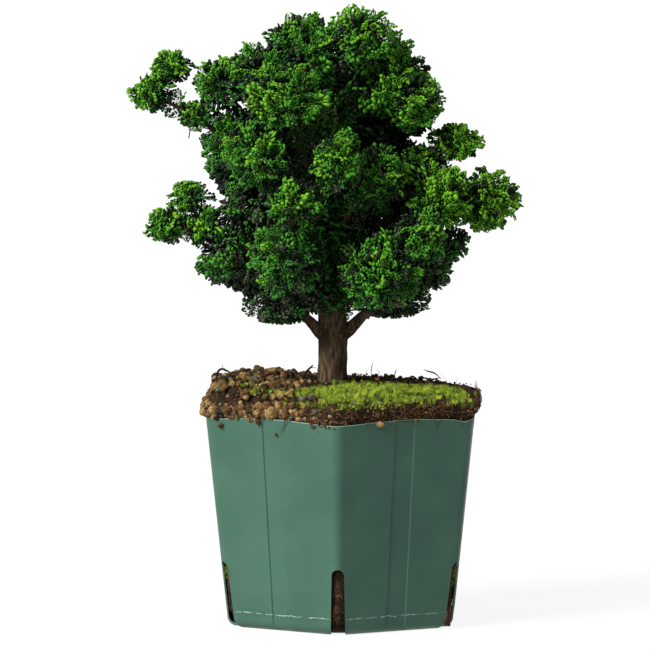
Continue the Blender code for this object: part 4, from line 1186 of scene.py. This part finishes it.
def make_moss_shoots():
    """Upright shoots on the carpet and its drape over the shoulder, on thin patches and behind two slits."""
    heaps = {name: Heap() for name in MOSS_COLOURS}
    points, faces = shoot_shape()
    dice = random.Random(43)

    def put(place, grow, height, tone):
        turn = (grow + loose_way(dice, SHOOT_LEAN)).to_track_quat("Z", "Y").to_matrix()
        turn = turn @ Matrix.Rotation(dice.uniform(0, 6.3), 3, "Z")
        tone += dice.uniform(-TONE_SPREAD, TONE_SPREAD)
        name = "lime" if tone > LIME_ABOVE else "green" if tone > GREEN_ABOVE else "dull"
        heaps[name].add(points * height @ np.array(turn).T + np.array(place[:]), faces)

    up = Vector((0, 0, 1))
    for _ in range(MOSS_SHOOTS):
        share, angle = math.sqrt(dice.random()) * 1.05, dice.uniform(0, 2 * math.pi)
        spot = moss_place(angle, share)
        bare = fbm((spot.x, spot.y, 5), 12 * MM, 3)
        if bare > 0.34 and dice.random() < 0.85:
            continue
        height = dice.uniform(*MOSS_SHOOT_HEIGHT) * (1 - 0.35 * max(0.0, share - 0.7))
        floor = moss_surface(spot.x, spot.y, min(share, 1)) - 1 * MM
        put((spot.x, spot.y, floor), up, height, 0.5 - 0.5 * max(0.0, bare))
    for _ in range(DRAPED_SHOOTS):
        angle, low = dice.uniform(*DRAPE_ANGLES), abs(dice.gauss(0, DRAPE_SPREAD))
        if fbm((angle * 100 * MM, low * 30 * MM, 3), 9 * MM, 2) > 0.25 or low > 0.8:
            continue
        place = ball_side_point(angle, 1 - low)
        out = outward(angle)
        put(place - out * MM, up + out * (0.2 + low), dice.uniform(*MOSS_SHOOT_HEIGHT) * 0.8, 0.5 - 1.1 * low)
    for middle, half, turn, count in MOSS_PATCHES:
        for _ in range(count):
            away, angle = math.sqrt(dice.random()), dice.uniform(0, 2 * math.pi)
            flat = Vector((half[0] * math.cos(angle), half[1] * math.sin(angle))) * away
            spot = Vector(middle) + Matrix.Rotation(turn, 2) @ flat
            if fbm((spot.x, spot.y, 6), 7 * MM, 2) < 0.15:
                put(ball_top_point(*spot), up, dice.uniform(*MOSS_SHOOT_HEIGHT) * 0.8, 0.36)
    for corner, low, high in SLIT_MOSS:
        for _ in range(SLIT_SHOOTS):
            angle, height = corner + dice.uniform(-0.05, 0.05), dice.uniform(low, high)
            edge = ball_edge(angle, flats_at(height) / 2 - BALL_GAP - 1.5 * MM)
            out = edge.normalized().to_3d()
            put((edge.x, edge.y, height), out + up * 0.6, dice.uniform(2.4, 3.6) * MM, 0.3)
    for name, heap in heaps.items():
        heap.make("moss_shoots_" + name, moss_material("moss_" + name, *MOSS_COLOURS[name]), "moss", False)


# Limbs


def trunk_path(step):
    stations = [(Vector((x * MM, y * MM, z * MM)), r * MM) for z, (x, y), r in TRUNK_STATIONS]
    return smooth_path(stations, step)


def trunk_point(path, height):
    for (low, _), (high, _) in zip(path, path[1:]):
        if low.z <= height <= high.z:
            return low.lerp(high, (height - low.z) / (high.z - low.z))
    return path[-1][0].copy()


def bark_relief(depth):
    """Long fibrous ridges and plates on a limb, as a rule for tube_shape."""

    def relief(point, out, radius):
        place = Vector((out.x * radius, out.y * radius, out.z * radius)) + point
        along = Vector((place.x, place.y, place.z * 0.2))
        ridges = abs(noise.noise(along / RIDGE_SIZE))
        plates = fbm((place.x, place.y, place.z * 0.45), PLATE_SIZE, 3)
        grain = noise.noise(Vector((place.x, place.y, place.z * 0.3)) / GRAIN_SIZE)
        return depth * (0.9 * plates - 1.3 * (0.35 - min(ridges, 0.35)) + 0.22 * grain)

    return relief


def make_trunk():
    path = trunk_path(TRUNK_STEP)
    foot = path[0][0].z
    relief = bark_relief(TRUNK_RELIEF)

    def flared(point, out, radius):
        """The relief, with low root buttresses that die out above the soil."""
        low = max(0.0, 1 - (point.z - foot) / BUTTRESS_HEIGHT) ** 2
        ridge = BUTTRESS_SIZE * math.sin(BUTTRESSES * math.atan2(out.y, out.x) + 0.7) - 0.4 * MM
        return relief(point, out, radius) + low * ridge

    heap = Heap()
    heap.add(*tube_shape(path, TRUNK_SIDES, flared, True))
    trunk = heap.make("trunk_bark", bark_material("bark_trunk", *TRUNK_BARK), "bark")
    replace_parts(trunk, "trunk")


def bough_path(trunk, start_height, radius, bow, lobe):
    """A bough that leaves the trunk, bows, and ends where it enters its mass."""
    start = trunk_point(trunk, start_height * MM)
    centre = Vector(lobe.centre)
    back = (start - centre).normalized()
    tip = centre + back * float(lobe.reach(np.array([back[:]]))[0]) * STEM_SHARE
    run = tip - start
    sideways = Vector((-run.y, run.x, 0)).normalized() * bow * MM
    middle = start + run / 2 + sideways - Vector((0, 0, BOUGH_SAG * run.xy.length))
    return [
        (start, radius * MM * BOUGH_COLLAR),
        (start.lerp(middle, 0.5), radius * MM),
        (middle, radius * MM * (1 + BOUGH_TIP_SHARE) / 2),
        (tip, radius * MM * BOUGH_TIP_SHARE),
    ]


def make_boughs(stations):
    """All boughs, each going on as a stem through the lobes of its mass."""
    heap = Heap()
    relief = bark_relief(BOUGH_RELIEF)
    for path in stations:
        heap.add(*tube_shape(smooth_path(path, BOUGH_STEP), BOUGH_SIDES, relief))
    boughs = heap.make("boughs_bark", bark_material("bark_boughs", *BOUGH_BARK), "bark")
    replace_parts(boughs, *[name for name in frame["nodes"] if name.startswith("bough_")])


# Spaces of the lobes


class Lobe:
    """One lobe of a mass: an ellipsoid that flat walls part from the lobes of the other masses."""

    def __init__(self, mass, sun, centre, half):
        self.mass = mass
        self.sun = sun
        self.centre = np.array(centre) * MM
        self.half = np.array(half) * MM * FULLNESS
        self.size = float(np.prod(self.half) ** (1 / 3))
        self.walls = []

    def ellipsoid_reach(self, directions):
        return 1 / np.linalg.norm(directions / self.half, axis=-1)

    def reach(self, directions):
        """Distance from the centre to the edge of the lobe's space along unit directions."""
        limit = self.ellipsoid_reach(directions)
        for normal, offset in self.walls:
            along = np.maximum(directions @ normal, 1e-9)
            limit = np.minimum(limit, offset / along)
        return limit


def make_lobes():
    lobes = []
    for name, (_, _, _, sun, shapes) in MASSES.items():
        lobes += [Lobe(name, sun, *shape) for shape in shapes]
    for i, a in enumerate(lobes):
        for b in lobes[i + 1:]:
            if a.mass == b.mass:
                continue
            between = b.centre - a.centre
            length = float(np.linalg.norm(between))
            normal = between / length
            reach_a, reach_b = float(a.ellipsoid_reach(normal)), float(b.ellipsoid_reach(-normal))
            split = length * reach_a / (reach_a + reach_b)
            a.walls.append((normal, split + LOBE_OVERLAP / 2))
            b.walls.append((-normal, length - split + LOBE_OVERLAP / 2))
    return lobes


def lobe_arrays(lobes):
    """Centres and half-sizes of some lobes."""
    return np.array([lobe.centre for lobe in lobes]), np.array([lobe.half for lobe in lobes])


def limb_arrays(paths):
    """Starts, ends and radii of the pieces of some limbs."""
    starts, ends, radii = [], [], []
    for path in paths:
        for (a, radius_a), (b, radius_b) in zip(path, path[1:]):
            starts.append(a[:])
            ends.append(b[:])
            radii.append(max(radius_a, radius_b))
    return np.array(starts), np.array(ends), np.array(radii)


def near_limb(points, limbs, extra):
    """For each row of points, whether any lies within extra of any limb's surface."""
    starts, ends, radii = limbs
    runs = ends - starts
    spots = points[:, :, None, :]
    shares = np.clip(((spots - starts) * runs).sum(3) / (runs * runs).sum(1), 0, 1)
    away = np.linalg.norm(starts + runs * shares[..., None] - spots, axis=3)
    return (away < radii + extra).any(axis=(1, 2))


# Foliage


def add_tip(points, faces, root, ahead, up, size, sides):
    """A blunt scaly tip: pointed at its root, widest near its end."""
    side = up.cross(ahead).normalized()
    up = ahead.cross(side)
    wide = root + ahead * (TIP_WIDEST * TIP_LENGTH * size)
    base = len(points)
    points.append(root)
    for k in range(sides):
        angle = 2 * math.pi * k / sides
        across_tip = side * math.cos(angle) * TIP_WIDTH + up * math.sin(angle) * TIP_THICKNESS
        points.append(wide + across_tip * size / 2)
    points.append(root + ahead * TIP_LENGTH * size)
    for k in range(sides):
        a, b = base + 1 + k, base + 1 + (k + 1) % sides
        faces += [(base, b, a), (len(points) - 1, a, b)]


def spray_shape(seed, coarse=False):
    """One fan-shaped spray of length 1 along +X: a bare axis, then branchlets in pairs with tips on them."""
    dice = random.Random(seed)
    points, faces = [], []
    flat = Vector((0, 0, 1))
    bend = dice.uniform(-SPRAY_BEND, SPRAY_BEND)
    pairs, tip_sides, tip_size = (COARSE_PAIRS, 3, COARSE_TIP) if coarse else (SPRAY_PAIRS, 4, 1)

    def axis(at):
        return Vector((at, bend * at * at, 0.05 * math.sin(3 * at)))

    def tip(root, ahead, size=1.0, sides=tip_sides):
        up = (flat + across(ahead, dice) * 0.45).normalized()
        add_tip(points, faces, root, ahead, up, size * tip_size * dice.uniform(*TIP_SIZES), sides)

    stations = (0, 0.85) if coarse else (0, 0.4, 0.85)
    path = [(axis(at), SPRAY_AXIS_RADIUS * (1 - 0.5 * at)) for at in stations]
    tube_points, tube_faces = tube_shape(path, 3)
    points += tube_points
    faces += tube_faces
    for number, at in enumerate(pairs):
        for side in (-1, 1):
            root = axis(at + side * 0.03)
            angle = side * math.radians(dice.uniform(*BRANCHLET_ANGLES) - BRANCHLET_CLOSING * number)
            rise = dice.uniform(-BRANCHLET_RISE, BRANCHLET_RISE)
            ahead = Vector((math.cos(angle), math.sin(angle), rise)).normalized()
            reach = (BRANCHLET_REACH - BRANCHLET_SHORTENING * number) * dice.uniform(0.85, 1.15)
            end = root + ahead * (reach - TIP_LENGTH * 0.7)
            tip(end, Matrix.Rotation(-side * dice.uniform(0.1, 0.4), 3, "Z") @ ahead)
            middle = root + ahead * reach * 0.3
            if number < 2:
                tip(middle, Matrix.Rotation(side * dice.uniform(0.45, 0.85), 3, "Z") @ ahead, 0.95, 3)
            if number == 1 and not coarse:
                raised = (ahead + flat * dice.choice((-1, 1)) * dice.uniform(0.6, 0.9)).normalized()
                tip(middle, raised, 1.0, 3)
    forward = Vector((1, bend, 0)).normalized()
    tip(axis(0.8), forward)
    if not coarse:
        tip(axis(0.7), (forward + flat * dice.choice((-0.7, 0.7))).normalized(), 0.9)
    return np.array([p[:] for p in points]), np.array(faces)


def directions(count, seed):
    """Unit directions spread evenly on all sides, a little out of step."""
    dice = random.Random(seed)
    made = []
    for i in range(count):
        up = 1 - 2 * (i + 0.5) / count
        angle = GOLDEN_ANGLE * i + dice.uniform(-0.25, 0.25)
        flat = math.sqrt(max(0.0, 1 - up * up))
        made.append(Vector((flat * math.cos(angle), flat * math.sin(angle), up)))
    return made


class Sprays:
    """Where every spray stands: its lobe, its root, the way it grows and faces, its length and a tint."""

    def __init__(self):
        self.rows = []

    def add(self, lobe, root, ahead, normal, length, tint=0.0):
        self.rows.append((lobe, root[:], ahead[:], normal[:], length, tint))

    def arrays(self):
        """All but the lobes, each as an array."""
        return [np.array(column) for column in list(zip(*self.rows))[1:]]

    def suns(self, lobes):
        """How sunny each spray stands, from the light that reaches its tip and its tint."""
        roots, aheads, _, lengths, tints = self.arrays()
        tips = roots + aheads * lengths[:, None]
        inward = -(aheads[:, :2] * (tips[:, :2] - CROWN_AXIS)).sum(1) / INWARD_AT
        shade = INWARD_SHADE * np.clip(inward, 0, 1)
        return exposure(tips, lobes) + SUN_OF_RISE * aheads[:, 2] + tints - shade


def depths(points, towards, lobes):
    """How much foliage lies before each place in one direction."""
    centres, halves = lobe_arrays(lobes)
    starts = (points[:, None] - centres) / halves
    ray = np.array(towards) / np.linalg.norm(towards) / halves
    squared = (ray ** 2).sum(1)
    along = (starts * ray).sum(2)
    root = np.sqrt(np.maximum(along * along - squared * ((starts ** 2).sum(2) - 1), 0))
    enter, leave = (-along - root) / squared, (-along + root) / squared
    return (np.maximum(leave, 0) - np.maximum(enter, 0)).sum(1)


def exposure(points, lobes):
    """The share of the light that reaches each place through the lobes."""
    reaching = np.zeros(len(points))
    for towards, weight in LIGHT_RAYS:
        reaching += weight * np.exp(-depths(points, towards, lobes) / DIMMING_DEPTH)
    return reaching / sum(weight for _, weight in LIGHT_RAYS)


def clear_share(points, lobes):
    """The share of all directions in which little foliage lies before each place."""
    clear = np.zeros(len(points))
    for direction in directions(CLEAR_RAYS, 0):
        clear += depths(points, direction[:], lobes) < CLEAR_DEPTH
    return clear / CLEAR_RAYS


def across(direction, dice):
    """A random direction square to another one."""
    loose = loose_way(dice)
    return (loose - direction * loose.dot(direction)).normalized()


def openness(point, lobe, lobes):
    """How clear a place is of the other lobes: below 1 it lies within one of them."""
    away = [np.linalg.norm((point - other.centre) / other.half) for other in lobes if other is not lobe]
    return float(min(away))


def grow_tuft(lobe, direction, reach, sheltered, dice, sprays, under, twigs):
    """A tuft: sprays that fan out of one root to a dome under the edge of the lobe's space.

    Where it hardly shows, deep between the lobes, it has only a few coarse sprays.
    """
    radius = TUFT_RADIUS * dice.uniform(*TUFT_SIZES)
    centre = Vector(lobe.centre)
    edge = centre + direction * reach
    wave = TUFT_WAVE * fbm(edge, TUFT_WAVE_SIZE, 2)
    crown = centre + direction * reach * min(1.0, dice.uniform(*TUFT_REACH) + wave)
    grow = (direction + Vector((0, 0, TUFT_UPWARD))).normalized()
    root = crown - grow * radius * TUFT_ROOT
    if (root - centre).dot(direction) < 0.1 * reach:
        root = centre + direction * 0.1 * reach
    bend = centre.lerp(root, 0.5) - Vector((0, 0, TWIG_SAG * (root - centre).length))
    twigs.append(list(zip((centre, bend, root), TWIG_RADII)))
    tint = lobe.sun + SUN_PATCH * fbm(edge, SUN_PATCH_SIZE, 2) + dice.gauss(0, TUFT_SUN_SPREAD)
    first, turn = across(grow, dice), dice.uniform(0, 2 * math.pi)
    count = SPRAYS_IN_SHELTER if sheltered else SPRAYS_IN_TUFT + UNDER_SPRAYS_IN_TUFT
    for k in range(count):
        start, end = TUFT_SPREAD
        below = k % 3 == 2 and k // 3 < UNDER_SPRAYS_IN_TUFT
        upright = start + (end - start) * (k / (count - 1)) ** 0.9
        leaning = math.sqrt(1 - upright * upright)
        round_it = Matrix.Rotation(turn + GOLDEN_ANGLE * k, 3, grow) @ first
        ahead = (grow * upright + round_it * leaning).normalized()
        behind = TUFT_ROOT - 1
        length = radius * (behind * upright + math.sqrt(max(0.1, 1 - (behind * leaning) ** 2)))
        facing = (grow - ahead * grow.dot(ahead) + across(ahead, dice) * 0.5).normalized()
        own_tint = tint + dice.gauss(0, SPRAY_SUN_SPREAD)
        if sheltered:
            under.add(lobe, root, ahead, facing, length, own_tint)
        elif below:
            # painted shade: the sprays below a tuft get darker colours
            under.add(lobe, root, ahead, facing, length * UNDER_LENGTH, own_tint + UNDER_SUN)
        else:
            sprays.add(lobe, root, ahead, facing, length * dice.uniform(0.85, 1.1), own_tint)


def plan_tufts(lobes):
    """The tufts of every lobe: the lobe, the tuft's direction from its middle and the reach there."""
    plans = []
    for number, lobe in enumerate(lobes):
        area = 4 * math.pi * lobe.size ** 2
        for direction in directions(round(area / (TUFT_SPACING ** 2 * 0.87)), number):
            unit = np.array(direction[:])
            reach = float(lobe.reach(unit))
            clear = openness(lobe.centre + unit * (reach + OPEN_AT), lobe, lobes)
            if reach > LEAST_SPACE * float(lobe.ellipsoid_reach(unit)) and clear > LEAST_OPEN:
                plans.append((lobe, direction, reach))
    return plans


def grow_inside(lobe, seed, inner):
    """Sprays that fill a lobe's inside, coloured near-black as painted shade."""
    dice = random.Random(seed)
    behind = lobe.centre[1] > BEHIND
    low, high = INNER_SHARE_BEHIND if behind else INNER_SHARE
    for direction in directions(INNER_SPRAYS_BEHIND if behind else INNER_SPRAYS_ON_LOBE, seed + 5):
        root = Vector(lobe.centre) + direction * lobe.size * 0.1
        reach = float(lobe.reach(np.array(direction[:])))
        length = max(reach * dice.uniform(low, high), LEAST_INNER_LENGTH)
        inner.add(lobe, root, direction, across(direction, dice), length)


def grow_on_limbs(limbs, lobes, under, seed):
    """Sprays on the limbs themselves, which hide the bark inside the crown. The first limb is the trunk."""
    dice = random.Random(seed)
    centres, halves = lobe_arrays(lobes)
    for number, path in enumerate(limbs):
        spray_step = BOUGH_SPRAY_STEP if number else TRUNK_SPRAY_STEP
        spray_length = BOUGH_SPRAY_LENGTH if number else TRUNK_SPRAY_LENGTH
        for (a, radius_a), (b, radius_b) in zip(path, path[1:]):
            run = b - a
            for k in range(int(run.length / spray_step)):
                point = a + run * (k + dice.random()) * spray_step / run.length
                away = np.linalg.norm((np.array(point[:]) - centres) / halves, axis=1).min()
                if point.z < BARE_TRUNK or away > 1.5 or number and away < BOUGH_DEEP:
                    continue
                out = across(run.normalized(), dice)
                ahead = (out + run.normalized() * LIMB_SPRAY_LEAN + Vector((0, 0, dice.uniform(-0.5, 0.5))))
                ahead.normalize()
                root = point + out * max(radius_a, radius_b)
                facing = (out - ahead * out.dot(ahead) + across(ahead, dice) * 0.6).normalized()
                length = dice.uniform(*spray_length)
                under.add(None, root, ahead, facing, length, dice.gauss(0, SPRAY_SUN_SPREAD))


def place_sprays(sprays, suns, limbs, shapes, seed):
    """The points of each spray, cupped, turned, set on its root and held within its lobe's space.

    Sprays of a lobe that would cut through a limb are left out.
    """
    dice = np.random.default_rng(seed)
    lobes = [row[0] for row in sprays.rows]
    roots, aheads, normals, lengths, _ = sprays.arrays()
    sides = np.cross(normals, aheads)
    kinds = dice.integers(0, len(shapes), len(roots))
    cups = dice.uniform(*SPRAY_CUP, len(roots)) * dice.choice((-1, 1), len(roots))
    made = []
    for kind, (points, faces) in enumerate(shapes):
        chosen = np.flatnonzero(kinds == kind)
        if not len(chosen):
            continue
        local = np.repeat(points[None], len(chosen), axis=0)
        local[:, :, 2] -= cups[chosen, None] * (local[:, :, 0] ** 2 + local[:, :, 1] ** 2)
        local *= lengths[chosen, None, None]
        placed = (
            roots[chosen, None]
            + local[:, :, :1] * aheads[chosen, None]
            + local[:, :, 1:2] * sides[chosen, None]
            + local[:, :, 2:] * normals[chosen, None]
        )
        for row, spray in enumerate(chosen):
            hold_within(placed[row], lobes[spray])
        on_limb = np.array([lobes[spray] is None for spray in chosen])
        clear = on_limb | ~near_limb(placed[:, ::7], limbs, LIMB_CLEARANCE)
        made.append((placed[clear], faces, suns[chosen][clear]))
    return made


def hold_within(points, lobe):
    """Moves a spray inward until none of it passes the edge of its lobe's space."""
    if lobe is None:
        return
    out = points - lobe.centre
    away = np.linalg.norm(out, axis=1)
    over = away - lobe.reach(out / away[:, None])
    worst = int(np.argmax(over))
    if over[worst] > 0:
        points -= out[worst] / away[worst] * over[worst]


def make_foliage(lobes, trunk, boughs):
    """Every mass's sprays, joined by colour into pieces, each spray's colour painted light and shade by how
    sunny it stands.
    """
    sprays, under, inner, twigs = Sprays(), Sprays(), Sprays(), []
    plans = plan_tufts(lobes)
    clear = clear_share(np.array([lobe.centre + np.array(d[:]) * reach for lobe, d, reach in plans]), lobes)
    least_clear = np.quantile(clear, SHELTERED_SHARE)
    dice = random.Random(8)
    for (lobe, direction, reach), share in zip(plans, clear):
        grow_tuft(lobe, direction, reach, share < least_clear, dice, sprays, under, twigs)
    for number, lobe in enumerate(lobes):
        grow_inside(lobe, number, inner)
    grow_on_limbs([trunk] + boughs, lobes, under, 77)
    limbs = limb_arrays([trunk] + [path[:PLACES_KEPT_CLEAR] for path in boughs])
    fine = [spray_shape(100 + k) for k in range(SPRAY_SHAPES)]
    coarse = [spray_shape(200 + k, True) for k in range(COARSE_SHAPES)]
    suns = sprays.suns(lobes)
    heaps = {name: Heap() for name, _, _ in FOLIAGE_COLOURS}
    heaps["olive"] = Heap()
    heaps["inner"] = Heap()
    dice = np.random.default_rng(7)
    limits = [np.quantile(suns, 1 - share) for _, share, _ in FOLIAGE_COLOURS[:-1]] + [-np.inf]
    olive_below = np.quantile(suns, 1 - OLIVE_FROM)
    placed_sprays = place_sprays(sprays, suns, limbs, fine, 11)
    placed_sprays += place_sprays(under, under.suns(lobes), limbs, coarse, 12)
    for placed, faces, spray_suns in placed_sprays:
        dull = (spray_suns < olive_below) & (dice.random(len(spray_suns)) < OLIVE_SHARE)
        if dull.any():
            heaps["olive"].add_many(placed[dull], faces)
        above = np.inf
        for (name, _, _), limit in zip(FOLIAGE_COLOURS, limits):
            chosen = (spray_suns >= limit) & (spray_suns < above) & ~dull
            above = limit
            if chosen.any():
                heaps[name].add_many(placed[chosen], faces)
    # The inside sprays, all in near-black painted shade
    for placed, faces, _ in place_sprays(inner, np.zeros(len(inner.rows)), limbs, coarse, 13):
        heaps["inner"].add_many(placed, faces)
    colours = {name: colour for name, _, colour in FOLIAGE_COLOURS}
    colours.update(olive=OLIVE, inner=INNER_SHADE_COLOUR)
    masses = [name for name in frame["nodes"] if name.startswith("foliage_")]
    for name, heap in heaps.items():
        material = foliage_material("foliage_" + name, colours[name])
        for number, part in enumerate(split_heap(heap)):
            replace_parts(part.make(f"sprays_{name}_{number + 1}", material, "foliage"), *masses)
    make_twigs(twigs)


def make_twigs(twigs):
    heap = Heap()
    for path in twigs:
        heap.add(*tube_shape(path, TWIG_SIDES))
    heap.make("twigs", bark_material("bark_twigs", *TWIG_BARK), "bark")


def split_heap(heap):
    """The heap in parts of under the most faces a piece may have."""
    parts, part = [], Heap()
    start = 0
    for points, faces in zip(heap.points, heap.faces):
        if part.face_count and part.face_count + len(faces) > MOST_FACES:
            parts.append(part)
            part = Heap()
        part.add(points, faces - start)
        start += len(points)
    return parts + [part]


# The stage


def make_sun(name, towards, strength, width):
    light = bpy.data.lights.new(name, "SUN")
    light.energy = strength
    light.angle = width
    add_object(name, light).rotation_euler = Vector(towards).to_track_quat("Z", "Y").to_euler()


def make_stage():
    scene = bpy.context.scene
    scene.view_settings.view_transform = "Standard"
    world = bpy.data.worlds.new("studio")
    world.use_nodes = True
    sky = world.node_tree.nodes["Background"].inputs
    sky["Color"].default_value = WHITE
    sky["Strength"].default_value = SKY_STRENGTH
    scene.world = world
    make_sun("key", KEY_FROM, KEY_STRENGTH, KEY_WIDTH)
    make_sun("top", TOP_FROM, TOP_STRENGTH, TOP_WIDTH)
    half = FLOOR_SIZE / 2
    mesh = bpy.data.meshes.new("floor")
    corners = [(-half, -half, 0), (half, -half, 0), (half, half, 0), (-half, half, 0)]
    mesh.from_pydata(corners, [], [(0, 1, 2, 3)])
    floor = add_object("floor", mesh)
    white = Shader("floor", FLOOR_COLOUR, 0.9, 0.0)
    white.shader.inputs["Emission Color"].default_value = WHITE
    white.shader.inputs["Emission Strength"].default_value = FLOOR_GLOW
    mesh.materials.append(white.material)


def make_camera():
    data = bpy.data.cameras.new("camera")
    data.lens = CAMERA_LENS
    data.sensor_width = CAMERA_SENSOR
    data.clip_end = CAMERA_CLIP
    camera = add_object("camera", data)
    target = Vector(CAMERA_TARGET)
    ahead = Vector((0, math.cos(CAMERA_PITCH), -math.sin(CAMERA_PITCH)))
    camera.location = target - ahead * CAMERA_DISTANCE
    camera.rotation_euler = ahead.to_track_quat("-Z", "Y").to_euler()
    bpy.context.scene.camera = camera


def main():
    make_stage()
    make_camera()
    make_pot()
    make_soil()
    make_granules()
    make_fibres()
    make_litter()
    make_moss()
    make_moss_shoots()
    make_trunk()
    lobes = make_lobes()
    trunk = trunk_path(LIMB_STEP)
    boughs = []
    for name, (height, radius, bow, _, _) in MASSES.items():
        own = [lobe for lobe in lobes if lobe.mass == name]
        stations = [trunk[-1]] if height is None else bough_path(trunk, height, radius, bow, own[0])
        thick = stations[-1][1]
        for lobe in own:
            thick *= STEM_TAPER
            stations.append((Vector(lobe.centre), thick))
        boughs.append(stations)
    make_boughs(boughs)
    make_foliage(lobes, trunk, boughs)


main()
